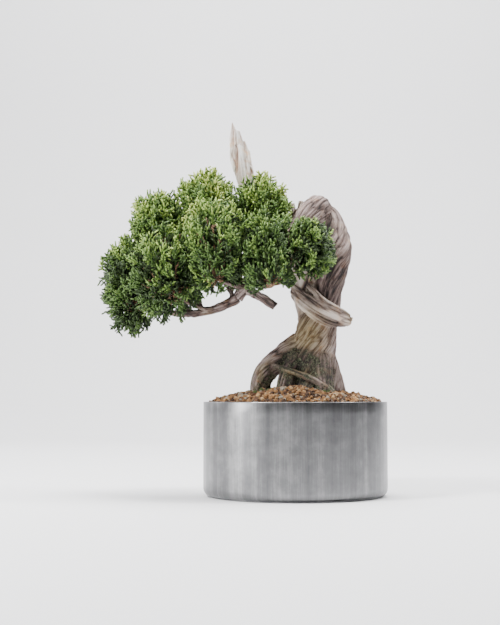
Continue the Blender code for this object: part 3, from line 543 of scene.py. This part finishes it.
def make_pot():
    """The pot with its thin wall, drain holes, rolled lower edge and brushed finish."""
    foot = POT_RADIUS - FOOT_INSET
    edge = foot - FOOT_EDGE
    profile = [(0, 0), (edge - FOOT_BEVEL[0], 0), (edge, FOOT_BEVEL[1]), (edge, FOOT_HEIGHT)]
    for a in np.radians(np.linspace(0, 90, 14)):
        profile.append((foot + FOOT_INSET * math.sin(a),
                        FOOT_HEIGHT + FOOT_STEP + (ROUND_HEIGHT - FOOT_HEIGHT) * (1 - math.cos(a))))
    profile += [(POT_RADIUS, height) for height in np.linspace(2 * ROUND_HEIGHT, POT_HEIGHT - RIM_BEVEL, 8)]
    inner = POT_RADIUS - POT_WALL
    for degrees, corner, way in ((30, POT_RADIUS, -1), (60, POT_RADIUS, -1), (90, POT_RADIUS, -1),
                                 (90, inner, 1), (60, inner, 1), (30, inner, 1), (0, inner, 1)):
        a = math.radians(degrees)
        profile.append((corner + way * RIM_BEVEL * (1 - math.cos(a)),
                        POT_HEIGHT - RIM_BEVEL * (1 - math.sin(a))))
    profile += [(inner, POT_FLOOR), (0, POT_FLOOR)]
    pot = new_piece("brushed_pot", *turned(profile, POT_SIDES), [metal_material()])
    for k in range(DRAIN_COUNT):
        a = DRAIN_TURN + 2 * math.pi * k / DRAIN_COUNT
        drill(pot, DRAIN_CIRCLE * math.cos(a), DRAIN_CIRCLE * math.sin(a))
    spots = places(pot)
    turn = np.arctan2(spots[:, 1], spots[:, 0])
    streak = POT_RADIUS * np.cos(turn), POT_RADIUS * np.sin(turn), STREAK_STRETCH * spots[:, 2]
    store(pot, streak=np.stack(streak, axis=1), place=spots)
    pot.data.set_sharp_from_angle(angle=math.radians(40))
    take_on(pot, "pot_metal", "pot")


def drill(pot, x, y):
    """Cuts one drain hole through the pot's floor."""
    depth = 2 * POT_FLOOR
    points, faces = turned([(0, -depth), (DRAIN_RADIUS, -depth), (DRAIN_RADIUS, depth), (0, depth)], 48)
    cutter = new_piece("hole", np.array(points) + (x, y, 0), faces, [])
    modify(pot, "BOOLEAN", operation="DIFFERENCE", object=cutter, solver="MANIFOLD")
    bpy.data.objects.remove(cutter)


def soil_height(x, y):
    """The height of the mound over a place."""
    share = max(0.0, 1 - (math.hypot(x, y) / (POT_RADIUS - POT_WALL)) ** SOIL_SHAPE)
    away = (x - SOIL_BUMP_AT[0]) ** 2 + (y - SOIL_BUMP_AT[1]) ** 2
    bump = SOIL_FRONT_BUMP * math.exp(-away / SOIL_BUMP_REACH**2)
    return POT_HEIGHT - SOIL_EDGE_DEPTH + SOIL_CROWN * share + bump


def make_soil():
    """The mound, and the loose grains that lie on it."""
    rng = np.random.default_rng(SEED)
    finishes = [mottled(f"grain_{name}", around(colour, 0.62, 1.25), 900.0, 0.95, 0.2)
                for name, colour in SOIL_COLOURS.items()]
    colours = list(SOIL_COLOURS)
    radius, base = POT_RADIUS - POT_WALL - SOIL_GAP, POT_FLOOR + SOIL_GAP
    profile = [(0, base), (radius, base)]
    profile += [(radius * share, POT_HEIGHT) for share in np.linspace(1, 0.02, 40)] + [(0, POT_HEIGHT)]
    points, faces = turned(profile, SOIL_SIDES)
    points = [(x, y, z if z == base else soil_height(x, y) - BED_DEPTH) for x, y, z in points]
    mound = new_piece("soil_mound", points, faces, [finishes[colours.index("umber")]])
    take_on(mound, "soil", "soil")
    shape = bmesh.new()
    bmesh.ops.create_icosphere(shape, subdivisions=1, radius=1.0)
    ball = np.array([v.co[:] for v in shape.verts])
    ball_faces = [[v.index for v in f.verts] for f in shape.faces]
    shape.free()
    grains = Heap()
    sizes, shares = GRAIN_SORTS
    for _ in range(GRAINS):
        reach = (radius - GRAIN_INSET) * math.sqrt(rng.uniform())
        a = rng.uniform(0, 2 * math.pi)
        x, y = reach * math.cos(a), reach * math.sin(a)
        size = rng.uniform(*GRAIN_SIZE) * rng.choice(sizes, p=shares)
        turn = np.linalg.qr(rng.normal(size=(3, 3)))[0]
        lumpy = ball * (size * rng.uniform(0.72, 1.15, (len(ball), 1))) * rng.uniform(0.75, 1.1, 3)
        spot = np.array([x, y, soil_height(x, y) + rng.uniform(*GRAIN_LIFT) - GRAIN_SINK])
        slot = int(rng.choice(len(SOIL_SHARES), p=SOIL_SHARES))
        mossy = sum(math.exp(-((x - at[0]) ** 2 + (y - at[1]) ** 2) / spread) for at, spread in MOSS_ON_SOIL)
        slot = colours.index("green") if rng.uniform() < 0.9 * mossy else slot
        grains.add(lumpy @ turn + spot, ball_faces, [slot] * len(ball_faces))
    take_on(grains.piece("soil_grains", finishes, smooth=False), "soil", "soil")


# The wood


class Limb:
    """A tapering limb that leaves its carrier and ends at its tip, on one bowed curve."""

    def __init__(self, start, bow, tip, start_radius, tip_radius):
        self.start, self.tip = np.array(start, float), np.array(tip, float)
        self.middle = (self.start + self.tip) / 2 + 2 * np.array(bow, float)
        self.radii = start_radius, tip_radius

    def at(self, t):
        """The point and radius at a share of the limb's length."""
        point = (1 - t) ** 2 * self.start + 2 * t * (1 - t) * self.middle + t * t * self.tip
        return point, self.radii[0] + (self.radii[1] - self.radii[0]) * t**0.8

    def direction(self, t):
        """The way the limb runs at a share of its length."""
        return unit((1 - t) * (self.middle - self.start) + t * (self.tip - self.middle))

    def rings(self, count):
        """Stations of x, y, z and radius."""
        return np.array([[*self.at(t)[0], self.at(t)[1]] for t in np.linspace(0, 1, count)])

    def strand(self, count):
        """The limb as a strand, set out from a direction that it never runs along."""
        return Strand(self.rings(count), (0, 1, 0) if abs(self.direction(0.5)[1]) < 0.6 else (1, 0, 0))


def work_out_limbs():
    """Every limb as a curve, in the order of the table, so that a carrier comes before what it carries."""
    limbs = {}
    for name, (carrier, share, *shape) in LIMBS.items():
        start = TURNED_LIMB[-1][:3] if carrier == "trunk" else limbs[carrier].at(share)[0]
        limbs[name] = Limb(start, *shape)
    return limbs


class Strand:
    """One strand of wood: its rings, and how its grain runs."""

    def __init__(self, rings, reference=(0, 1, 0), bare=False, flutes=0, flute_depth=0.0, twist=0.0):
        self.rings = np.asarray(rings, float)
        self.bare = bare
        self.flutes, self.flute_depth, self.twist = flutes, flute_depth, twist
        self.path = self.rings[:, :3]
        ways = np.gradient(self.path, axis=0)
        self.tangents = ways / np.linalg.norm(ways, axis=1)[:, None]
        self.side = across(self.tangents, reference)
        self.up = np.cross(self.side, self.tangents)
        self.across, self.along = self.rings[:, 3], self.rings[:, -1]
        self.run = np.concatenate([[0], np.cumsum(np.linalg.norm(np.diff(self.path, axis=0), axis=1))])

    def tube(self, sides=40):
        """Points and faces of the strand as a closed tube."""
        angles = 2 * math.pi * np.arange(sides) / sides
        count = len(self.path)
        turn = self.twist * np.arange(count)[:, None] / (count - 1)
        swell = 1 + self.flute_depth * np.cos(self.flutes * (angles + turn))
        points = (self.path[:, None]
                  + (swell * self.across[:, None] * np.cos(angles))[:, :, None] * self.side[:, None]
                  + (swell * self.along[:, None] * np.sin(angles))[:, :, None] * self.up[:, None])
        faces = []
        for low in range(0, (count - 1) * sides, sides):
            high = low + sides
            for a, b in zip(range(sides), [*range(1, sides), 0]):
                faces.append([high + a, high + b, low + b, low + a])
        faces.append(list(range(sides)))
        faces.append([(count - 1) * sides + j for j in reversed(range(sides))])
        return points.reshape(-1, 3), faces

    def grain(self, points):
        """How far each point lies outside the strand, and its place round and along the grain."""
        gaps = np.linalg.norm(points[:, None] - self.path[None], axis=2)
        size = (self.across + self.along) / 2
        nearest = (gaps - size).argmin(axis=1)
        off = points - self.path[nearest]
        run = self.run[nearest] + np.einsum("ij,ij->i", off, self.tangents[nearest])
        up = np.einsum("ij,ij->i", off, self.up[nearest])
        turn = np.arctan2(up, np.einsum("ij,ij->i", off, self.side[nearest]))
        turn = turn + 1.3 * self.twist * run / self.run[-1] + 0.02 * run
        wide = max(3.0, float(size.mean()))
        spot = np.stack([wide * np.cos(turn), wide * np.sin(turn), 0.16 * run], axis=1)
        return gaps[np.arange(len(points)), nearest] - size[nearest], spot


def trunk_strands():
    """The trunk's strands as in its solid, the bare dead ones marked."""
    sideways, upright, dead = {"reference": (1, 0, 0)}, {"reference": (0, 0, 1), "bare": True}, {"bare": True}
    rows = [(COLUMN, dict(flutes=5, flute_depth=0.05, twist=0.9)),
            (LEFT_BUTTRESS, dict(flutes=4, flute_depth=0.08, twist=0.5)), (RIGHT_ROOT, {}),
            (FRONT_ROOT, sideways), (BACK_ROOT, sideways), (RIGHT_BACK_ROOT, sideways),
            (BRIDGE_ROOT, upright), (MOSSY_ROOT, sideways),
            (DEAD_CORE, dict(bare=True, flutes=3, flute_depth=0.07, twist=1.2)),
            (LIVE_VEIN, dict(flutes=4, flute_depth=0.04, twist=1.6)), (TURNED_LIMB, sideways),
            (SHELF, upright), (SHELF_LIP, upright), (SHELF_ROPE, upright),
            (STUB_LEFT, dead), (STUB_RIGHT, dead)]
    return [Strand(smooth_stations(stations, 10), **shape) for stations, shape in rows]


def carved(name, strands, voxel, finish, relief, floor=None):
    """One mesh of all the strands, remeshed, with its grain's relief and the attributes for its finish."""
    points, faces, count = [], [], 0
    for strand in strands:
        more, more_faces = strand.tube()
        faces += [[i + count for i in f] for f in more_faces]
        points.append(more)
        count += len(more)
    obj = new_piece(name, np.vstack(points), faces, [finish])
    modify(obj, "REMESH", mode="VOXEL", voxel_size=voxel * MM)
    if floor is not None:
        cut_flat(obj, floor)
    spots = places(obj)
    nearest = np.full(len(spots), np.inf)
    grain, gaps = np.zeros((len(spots), 3)), {True: nearest.copy(), False: nearest.copy()}
    for index, strand in enumerate(strands):
        for chunk in np.array_split(np.arange(len(spots)), 1 + len(spots) // 8000):
            gap, spot = strand.grain(spots[chunk])
            closer = gap < nearest[chunk]
            nearest[chunk[closer]] = gap[closer]
            grain[chunk[closer]] = spot[closer] + 50.0 * index
            gaps[strand.bare][chunk] = np.minimum(gaps[strand.bare][chunk], gap)
    bare = 1 / (1 + np.exp(np.clip(2.2 * (gaps[True] - gaps[False]), -30, 30)))
    height, tone = relief(grain, spots, bare)
    if floor is not None:
        height = height * np.clip((spots[:, 2] - floor) / 1.5, 0, 1)
    moved = spots + vectors_of(obj, "normal") * height[:, None]
    obj.data.vertices.foreach_set("co", (moved * MM).astype(np.float32).ravel())
    obj.data.update()
    obj.data.shade_smooth()
    store(obj, grain=grain, place=spots, relief=tone)
    return obj, spots, bare, height


def thin_out(obj):
    """Takes faces away, most of them where the wood is smooth."""
    modify(obj, "DECIMATE", ratio=FACES_KEPT)
    obj.data.shade_smooth()


def cut_flat(obj, floor):
    """Cuts the mesh flat at this height and closes it."""
    shape = bmesh.new()
    shape.from_mesh(obj.data)
    everything = [*shape.verts, *shape.edges, *shape.faces]
    cut = bmesh.ops.bisect_plane(shape, geom=everything, plane_co=(0, 0, floor * MM),
                                 plane_no=(0, 0, 1), clear_inner=True)
    edges = [part for part in cut["geom_cut"] if isinstance(part, bmesh.types.BMEdge)]
    bmesh.ops.holes_fill(shape, edges=edges, sides=0)
    shape.to_mesh(obj.data)
    shape.free()


def ridged(values):
    """Noise folded so that it has narrow grooves and broad tops."""
    return 1 - 2 * np.exp(-5 * np.abs(values))


def bark_relief(grain, spots, bare):
    """The height of stringy bark, or of flowing ridges where the wood is bare, and its tone, which follows
    the height: lighter on the ridges and darker in the grooves, partly the wood's own tone and partly painted
    shade.
    """
    fine = ridged(noise(grain, 1.2, 2))
    bark = 0.42 * ridged(noise(grain, 2.4, 1)) + 0.3 * fine
    wood = 0.75 * noise(grain, 3.4, 4) + 0.4 * ridged(noise(grain, 1.9, 9)) + 0.12 * fine
    height = bark * (1 - bare) + wood * bare
    return height + 0.35 * (1 - bare) * noise(spots, 5.0, 3) - 0.42, np.clip(0.52 + 0.62 * height, 0, 1)


def twig_relief(grain, spots, bare):
    """The same, finer, for boughs, with knobs."""
    height, tone = bark_relief(grain * 1.4, spots * 1.5, bare)
    return 0.6 * height + 0.9 * np.clip(noise(spots, 4.5, 7), 0, 1), tone


def near(spots, name):
    """From 0 far away to 1 at the centre of the patch of this name."""
    centre, reach = PATCHES[name]
    away = np.linalg.norm((spots - np.array(centre)) / np.array(reach), axis=1)
    return np.clip(1.4 - away, 0, 1)


def make_trunk(limbs):
    """The trunk with its roots, shelf of dead wood and stubs, and the bough that turns down from its top."""
    finish = wood_material("trunk_wood", BARK_TONES, BARE_TONES)
    strands = trunk_strands()
    strands += [limbs[name].strand(40) for name in TRUNK_LIMBS]
    trunk, spots, bare, height = carved("trunk_wood", strands, VOXEL, finish, bark_relief, GROUND)
    patchy = np.clip(0.6 + 1.2 * noise(spots, 4.0, 5), 0, 1)
    speckled = np.clip(2.5 * noise(spots, 1.5, 8), 0, 1)
    hollow = np.clip(near(spots, "hollow") + near(spots, "hollow_top"), 0, 1)
    foot = near(spots, "left_foot") + near(spots, "right_foot")
    low = np.clip((84 - spots[:, 2]) / 8, 0, 1) * 0.5
    moss = np.clip((hollow + foot + low) * (0.45 * patchy + 0.75 * speckled), 0, 1)
    lichen = near(spots, "neck") * (1 - 0.6 * hollow) + near(spots, "bridge")
    lichen = lichen + 0.7 * near(spots, "shelf_end") + 0.6 * near(spots, "left_root") * patchy
    # The scar is paler wood. The bulb's top is painted light: it takes the bare wood's paler colour where the
    # light falls.
    pale = near(spots, "scar") + 0.6 * near(spots, "lit_bulb_top")
    # Painted shade: the dark attribute darkens the hollow, the crease and fold and the bulb's lower side,
    # where shade falls, and darkens the wood round the stub.
    crease_shade = near(spots, "crease_shade") + near(spots, "fold_shade")
    dark = 0.22 * hollow + 0.16 * near(spots, "bulb") * (1 - bare)
    dark = dark + 0.3 * np.clip(crease_shade, 0, 1) + 0.14 * near(spots, "stub")
    store(trunk, bare=np.clip(np.maximum(bare, 0.8 * pale * patchy), 0, 1),
          moss=moss * np.clip(0.9 - 0.4 * height, 0, 1), lichen=0.8 * np.clip(lichen, 0, 1), dark=dark)
    thin_out(trunk)
    take_on(trunk, "bark", "trunk", *TRUNK_LIMBS)


def make_boughs(limbs):
    """The other boughs, each one tapering limb."""
    finish = wood_material("bough_wood", BARK_TONES, BARE_TONES)
    names = [name for name in limbs if name not in TRUNK_LIMBS]
    strands = [limbs[name].strand(50) for name in names]
    boughs, spots, bare, _ = carved("bough_wood", strands, FINE_VOXEL, finish, twig_relief)
    store(boughs, bare=bare, moss=0, lichen=np.clip(0.4 * noise(spots, 9.0, 6), 0, 1), dark=0.08)
    thin_out(boughs)
    take_on(boughs, "bark", *names)


def make_dead_apex():
    """The bleached, broken top with its grooves and splinters."""
    finish = wood_material("apex_wood", APEX_TONES, APEX_TONES)
    strands = [Strand(smooth_stations(DEAD_APEX, 10), bare=True, flutes=3, flute_depth=0.08, twist=0.8)]
    strands += [Strand(smooth_stations(s, 10), bare=True) for s in SPLINTERS]
    apex, spots, _, _ = carved("apex_wood", strands, FINE_VOXEL, finish, bark_relief)
    low = np.clip((215 - spots[:, 2]) / 20, 0, 1)
    edges = near(spots, "apex_left") + 0.8 * near(spots, "apex_right")
    store(apex, bare=1, moss=0, lichen=0.3 * low + 0.35 * edges, dark=0)
    thin_out(apex)
    take_on(apex, "deadwood", "dead_apex")


# The foliage


def obstacles(limbs):
    """Balls of x, y, z and radius along the wood, which foliage stays clear of."""
    rows = []
    for stations in (COLUMN, DEAD_CORE, LIVE_VEIN, TURNED_LIMB, DEAD_APEX, SHELF, STUB_LEFT, STUB_RIGHT):
        rows.append(smooth_stations(stations, 5)[:, :4])
    rows += [smooth_stations(s, 4)[:, :4] for s in SPLINTERS]
    rows += [limb.rings(16) for limb in limbs.values()]
    return np.vstack(rows)


class Mass:
    """One mass of foliage: an ellipsoid space round a stem at its bough's tip."""

    def __init__(self, name, limb, centre, reach, lowest, index):
        self.name, self.limb = name, limb
        self.centre, self.reach, self.lowest = np.array(centre, float), np.array(reach, float), lowest
        self.rng = np.random.default_rng(SEED + 7 * index)
        self.fork = limb.tip + STEM_LENGTH * limb.direction(1)

    def depth(self, points):
        """How far out points lie, as a share of the mass's reach."""
        shares = np.abs((np.asarray(points) - self.centre) / self.reach)
        return (shares**ROUNDNESS).sum(axis=-1) ** (1 / ROUNDNESS)

    def on_twig(self, target, t):
        """A point on the twig from the fork to its target. It leaves the fork steeply and bends outward."""
        way = target - self.fork
        middle = self.fork + way * TWIG_BOW[0] + np.array([0, 0, TWIG_BOW[1] * np.linalg.norm(way)])
        return (1 - t) ** 2 * self.fork + 2 * t * (1 - t) * middle + t * t * target

    def targets(self):
        """Where the twigs head for: points spread evenly over the mass's outside by the golden angle."""
        turn = self.rng.uniform(0, 2 * math.pi)
        for k in range(TWIGS):
            height = 1 - (k + 0.5) / TWIGS * (1 - self.lowest)
            flat = math.sqrt(1 - height * height)
            a = turn + k * GOLDEN_ANGLE
            way = np.array([flat * math.cos(a), flat * math.sin(a), height])
            yield self.centre + way * self.reach / self.depth(self.centre + way * self.reach)

    def spray_frame(self, target, t, roll):
        """The way a twig runs at a share of its length, and two directions across it turned by a roll."""
        ahead = unit(self.on_twig(target, min(1.0, t + 0.1)) - self.on_twig(target, t))
        ahead = unit(ahead + np.array([0, 0, UPWARD * (1 + ahead[2])]))
        side = unit(np.cross(ahead, NEVER_ALONG))
        side = math.cos(roll) * side + math.sin(roll) * np.cross(ahead, side)
        return ahead, side, np.cross(ahead, side)


class Crown:
    """All the masses, the wood that they stay clear of and the patterns of their sprays."""

    def __init__(self, limbs):
        self.blocks = obstacles(limbs)
        self.masses = [Mass(name, limbs[carrier], *shape, index)
                       for index, (name, (carrier, *shape)) in enumerate(MASSES.items())]
        rng = np.random.default_rng(SEED)
        self.kinds = [SprayKind(rng) for _ in range(SPRAY_KINDS)]

    def holds(self, mass, points):
        """Which of these points lie in the mass's own space and clear of the wood."""
        own = mass.depth(points)
        inside = own < SPACE_REACH
        for other in self.masses:
            if other is not mass:
                inside &= other.depth(points) > own + SPACE_MARGIN
        gaps = np.linalg.norm(points[:, None] - self.blocks[None, :, :3], axis=2) - self.blocks[:, 3]
        return inside & (gaps > LIMB_CLEARANCE).all(axis=1)


class SprayKind:
    """One pattern of a spray of length one: cords that fork from a short axis, in the spray's own frame."""

    def __init__(self, rng):
        self.rng = rng
        self.roots, self.tips, self.carriers = [], [], []
        self.fork(np.zeros(3), 0.0, AXIS_LENGTH, 2, 0)
        self.roots, self.tips = np.array(self.roots), np.array(self.tips)

    def fork(self, root, heading, length, order, carrier):
        """A cord from the root, and those that leave it on alternate sides."""
        lift = self.rng.uniform(*CORD_LIFT)
        way = unit(np.array([math.cos(heading), math.sin(heading), lift]))
        own = len(self.roots)
        self.roots.append(root)
        self.tips.append(root + length * way)
        self.carriers.append(carrier)
        if order == 0:
            return
        side = 1 if self.rng.uniform() < 0.5 else -1
        shares, longest, fall = CORD_FORKS[order]
        for share in shares:
            side = -side
            turn = side * math.radians(self.rng.uniform(*CORD_TURN))
            part = (longest - fall * share) * self.rng.uniform(*CORD_CHANGE)
            self.fork(root + share * length * way, heading + turn, part, order - 1, own)

    def kept(self, inside):
        """Which cords stay, if these do by themselves: one whose carrier is left out goes too."""
        stay = inside.copy()
        for k, carrier in enumerate(self.carriers):
            stay[k] &= stay[carrier]
        return stay


def cord_faces():
    """The faces of one cord of three rings and a tip, and which of them are its younger end."""
    faces, young = [], []
    for k in range(2):
        for j in range(CORD_SIDES):
            a, b = k * CORD_SIDES + j, k * CORD_SIDES + (j + 1) % CORD_SIDES
            faces.append([b, a, a + CORD_SIDES, b + CORD_SIDES])
            young.append(k)
    for j in range(CORD_SIDES):
        faces.append([2 * CORD_SIDES + (j + 1) % CORD_SIDES, 2 * CORD_SIDES + j, 3 * CORD_SIDES])
        young.append(1)
    faces.append(list(range(CORD_SIDES)))
    young.append(0)
    return faces, young


def cord_points(roots, tips):
    """The points of each of these cords."""
    ahead = tips - roots
    ahead /= np.linalg.norm(ahead, axis=1)[:, None]
    side = across(ahead, (0.31, 0.2, 0.93))
    up = np.cross(side, ahead)
    rows = []
    for share, wide in CORD_RINGS:
        for a in 2 * math.pi * (np.arange(CORD_SIDES) + 0.5) / CORD_SIDES:
            ring = CORD_RADIUS * wide * (math.cos(a) * side + math.sin(a) * up)
            rows.append(roots + share * (tips - roots) + ring)
    rows.append(tips)
    return np.stack(rows, axis=1)


def tapered(path, radii, sides=5):
    """Points and faces of a twig along a path."""
    path = np.asarray(path, float)
    reference = (0, 1, 0) if abs(unit(path[-1] - path[0])[1]) < 0.7 else (1, 0, 0)
    return Strand(np.column_stack([path, radii]), reference).tube(sides)


CORD_FACES, CORD_YOUNG = cord_faces()


def leaf_materials():
    """Plain greens in pairs, for a spray's cords and for their younger tips, with a bump of small scales. The
    greens run from painted shade to painted light.
    """
    made = []
    for name, pair in GREENS.items():
        for part, colour in zip(("cord", "tip"), pair):
            finish, tree, shader = principled(f"leaf_{name}_{part}", colour, 0.5)
            shader.inputs["Subsurface Weight"].default_value = 0.08
            shader.inputs["Subsurface Radius"].default_value = (0.0006, 0.001, 0.0003)
            shader.inputs["Specular IOR Level"].default_value = 0.35
            bumped(tree, shader, noise_node(tree, coordinates(tree), 1800.0, 1.0), 0.4, 0.12)
            made.append(finish)
    return made


def spray_green_by_painted_light(mass, spot):
    """Which green a spray gets: painted light on the crown's top and left, and painted shade inside, below
    and on its right.
    """
    out = mass.depth(spot)
    high = (spot[2] - CROWN_MIDDLE[2]) / CROWN_REACH[2]
    left = (CROWN_MIDDLE[0] - spot[0]) / CROWN_REACH[0]
    tone = GREEN_START + PAINTED_LIGHT_OUTWARD[0] * (out - PAINTED_LIGHT_OUTWARD[1]) + PAINTED_LIGHT_HIGH * high + PAINTED_LIGHT_LEFT * left
    return int(np.clip(round(tone + mass.rng.normal(0, GREEN_SPREAD)), 0, len(GREENS) - 1))


def make_mass(mass, crown, finishes):
    """The mass's twigs, and the leaves that grow on them in sprays."""
    leaves, twigs = Heap(), Heap()
    foot = mass.limb.tip
    twigs.add(*tapered([foot, (foot + mass.fork) / 2, mass.fork], [mass.limb.radii[1], *STEM_RADII], 8))
    for target in mass.targets():
        grow_twig(mass, crown, target, leaves, twigs)
    part = mass.name.removeprefix("foliage_")
    leaf_piece = leaves.piece(f"leaves_{part}", finishes[:-1])
    twig_piece = twigs.piece(f"twigs_{part}", finishes[-1:])
    take_on(leaf_piece, "foliage", mass.name)
    take_on(twig_piece, "bark", mass.name)


def grow_twig(mass, crown, target, leaves, twigs):
    """One twig with a spray at its tip and others down its sides. What would leave the space is left out."""
    rng = mass.rng
    length = SPRAY_LENGTH * rng.uniform(*SPRAY_SHARES)
    reach = TWIG_REACH[0] - TWIG_REACH[1] * math.sqrt(rng.uniform())
    for share in TWIG_SHARES:
        tip = mass.centre + share * reach * (target - mass.centre)
        end = max(LEAST_TWIG, 1 - 0.8 * length / np.linalg.norm(tip - mass.fork))
        path = np.array([mass.on_twig(tip, t) for t in np.linspace(0, end, 7)])
        outer = path[mass.depth(path) > TWIG_CLEAR_FROM]
        ahead, side, _ = mass.spray_frame(tip, end, rng.uniform(0, math.pi))
        if crown.holds(mass, np.vstack([outer, path[-1] + SHORTENED * length * ahead])).all():
            break
    else:
        return
    twigs.add(*tapered(path, TWIG_RADIUS * np.linspace(*TWIG_TAPER, len(path))))
    add_spray(mass, crown, leaves, path[-1], ahead, side, length)
    for along, angle in SIDE_SPRAYS:
        t = end * along * rng.uniform(0.94, 1.0)
        ahead, side, face = mass.spray_frame(tip, t, rng.uniform(0, 2 * math.pi))
        turn = math.radians(angle + rng.uniform(-10, 10))
        heading = math.cos(turn) * ahead + math.sin(turn) * side
        root = mass.on_twig(tip, t)
        foot = root + rng.uniform(*SIDE_TWIG) * heading
        if add_spray(mass, crown, leaves, foot, heading, face, length * rng.uniform(*SIDE_SPRAY_SHARES)):
            twigs.add(*tapered([root, (root + foot) / 2, foot], SIDE_TWIG_RADII, 4))


def add_spray(mass, crown, leaves, root, ahead, flat_side, length):
    """Adds one spray without the cords that would leave the space. Says whether any stayed."""
    kind = crown.kinds[mass.rng.integers(len(crown.kinds))]
    side = unit(np.cross(flat_side, ahead))
    ways = np.array([ahead, side, np.cross(ahead, side)])
    roots, tips = root + length * kind.roots @ ways, root + length * kind.tips @ ways
    inside = crown.holds(mass, tips)
    if not inside.all():
        tips[~inside] = roots[~inside] + SHORTENED * (tips[~inside] - roots[~inside])
        inside = crown.holds(mass, tips)
    stay = kind.kept(inside)
    if not stay.any():
        return False
    # The spray's green is painted light and shade, chosen by where it sits in the crown.
    tone = spray_green_by_painted_light(mass, root + 0.6 * length * ahead)
    slots = [2 * tone + young for young in CORD_YOUNG]
    for points in cord_points(roots[stay], tips[stay]):
        leaves.add(points, CORD_FACES, slots)
    return True


# The stage


def make_stage():
    """A pale floor that curves up behind, soft lights and the photograph's camera."""
    finish = mottled("stage_paint", around(STAGE_COLOUR, 0.99, 1.01), 3.0, 0.9, 0.01)
    start, radius = STAGE_BEND
    profile = [(STAGE_FRONT, 0), (start, 0)]
    for a in np.radians(np.arange(6, 91, 6)):
        profile.append((start + radius * math.sin(a), radius * (1 - math.cos(a))))
    profile.append((start + radius, STAGE_TOP))
    points = [(x, y, z) for y, z in profile for x in (-STAGE_WIDTH / 2, STAGE_WIDTH / 2)]
    faces = [[2 * k, 2 * k + 1, 2 * k + 3, 2 * k + 2] for k in range(len(profile) - 1)]
    new_piece("floor", points, faces, [finish])
    make_world()
    for name, place, aim, size, power in LIGHTS:
        light = bpy.data.lights.new(name, "AREA")
        light.size, light.energy = size * MM, power
        way = np.array(place) - np.array(aim)
        put(light, place, math.acos(way[2] / np.linalg.norm(way)), math.atan2(way[1], way[0]) + math.pi / 2)
    camera = bpy.data.cameras.new("camera")
    camera.lens, camera.sensor_width = LENS, SENSOR
    yaw = math.atan2(PIXELS_OFF_AXIS, IMAGE_HEIGHT * LENS / SENSOR)
    bpy.context.scene.camera = put(camera, CAMERA_PLACE, math.radians(CAMERA_TILT), yaw)


def put(data, place, tilt, yaw):
    """An object of a light or a camera at its place, tilted up from looking down and then turned round."""
    holder = bpy.data.objects.new(data.name, data)
    holder.location = [MM * c for c in place]
    holder.rotation_euler = (tilt, 0.0, yaw)
    bpy.context.scene.collection.objects.link(holder)
    return holder


def make_world():
    """A studio that is pale to look at, and lights the tree most from behind and the left."""
    world = bpy.data.worlds.new("studio")
    bpy.context.scene.world = world
    world.use_nodes = True
    tree = world.node_tree
    inputs = {0: coordinates(tree, "Generated"), 1: BRIGHT_SIDE}
    toward = node(tree, "ShaderNodeVectorMath", inputs, "Value", operation="DOT_PRODUCT")
    share = figured(tree, "MULTIPLY_ADD", toward, 0.5, 0.5, clamp=True)
    seen = node(tree, "ShaderNodeLightPath", {}, "Is Camera Ray")
    colour = blended(tree, seen, ramp(tree, share, WORLD_TONES), ramp(tree, share, BACKDROP_TONES))
    tree.links.new(colour, tree.nodes["Background"].inputs["Color"])


def main():
    make_stage()
    make_pot()
    make_soil()
    limbs = work_out_limbs()
    make_trunk(limbs)
    make_boughs(limbs)
    make_dead_apex()
    crown = Crown(limbs)
    finishes = [*leaf_materials(), mottled("twig_bark", TWIG_TONES, 700.0, 0.8, 0.2)]
    for mass in crown.masses:
        make_mass(mass, crown, finishes)


main()
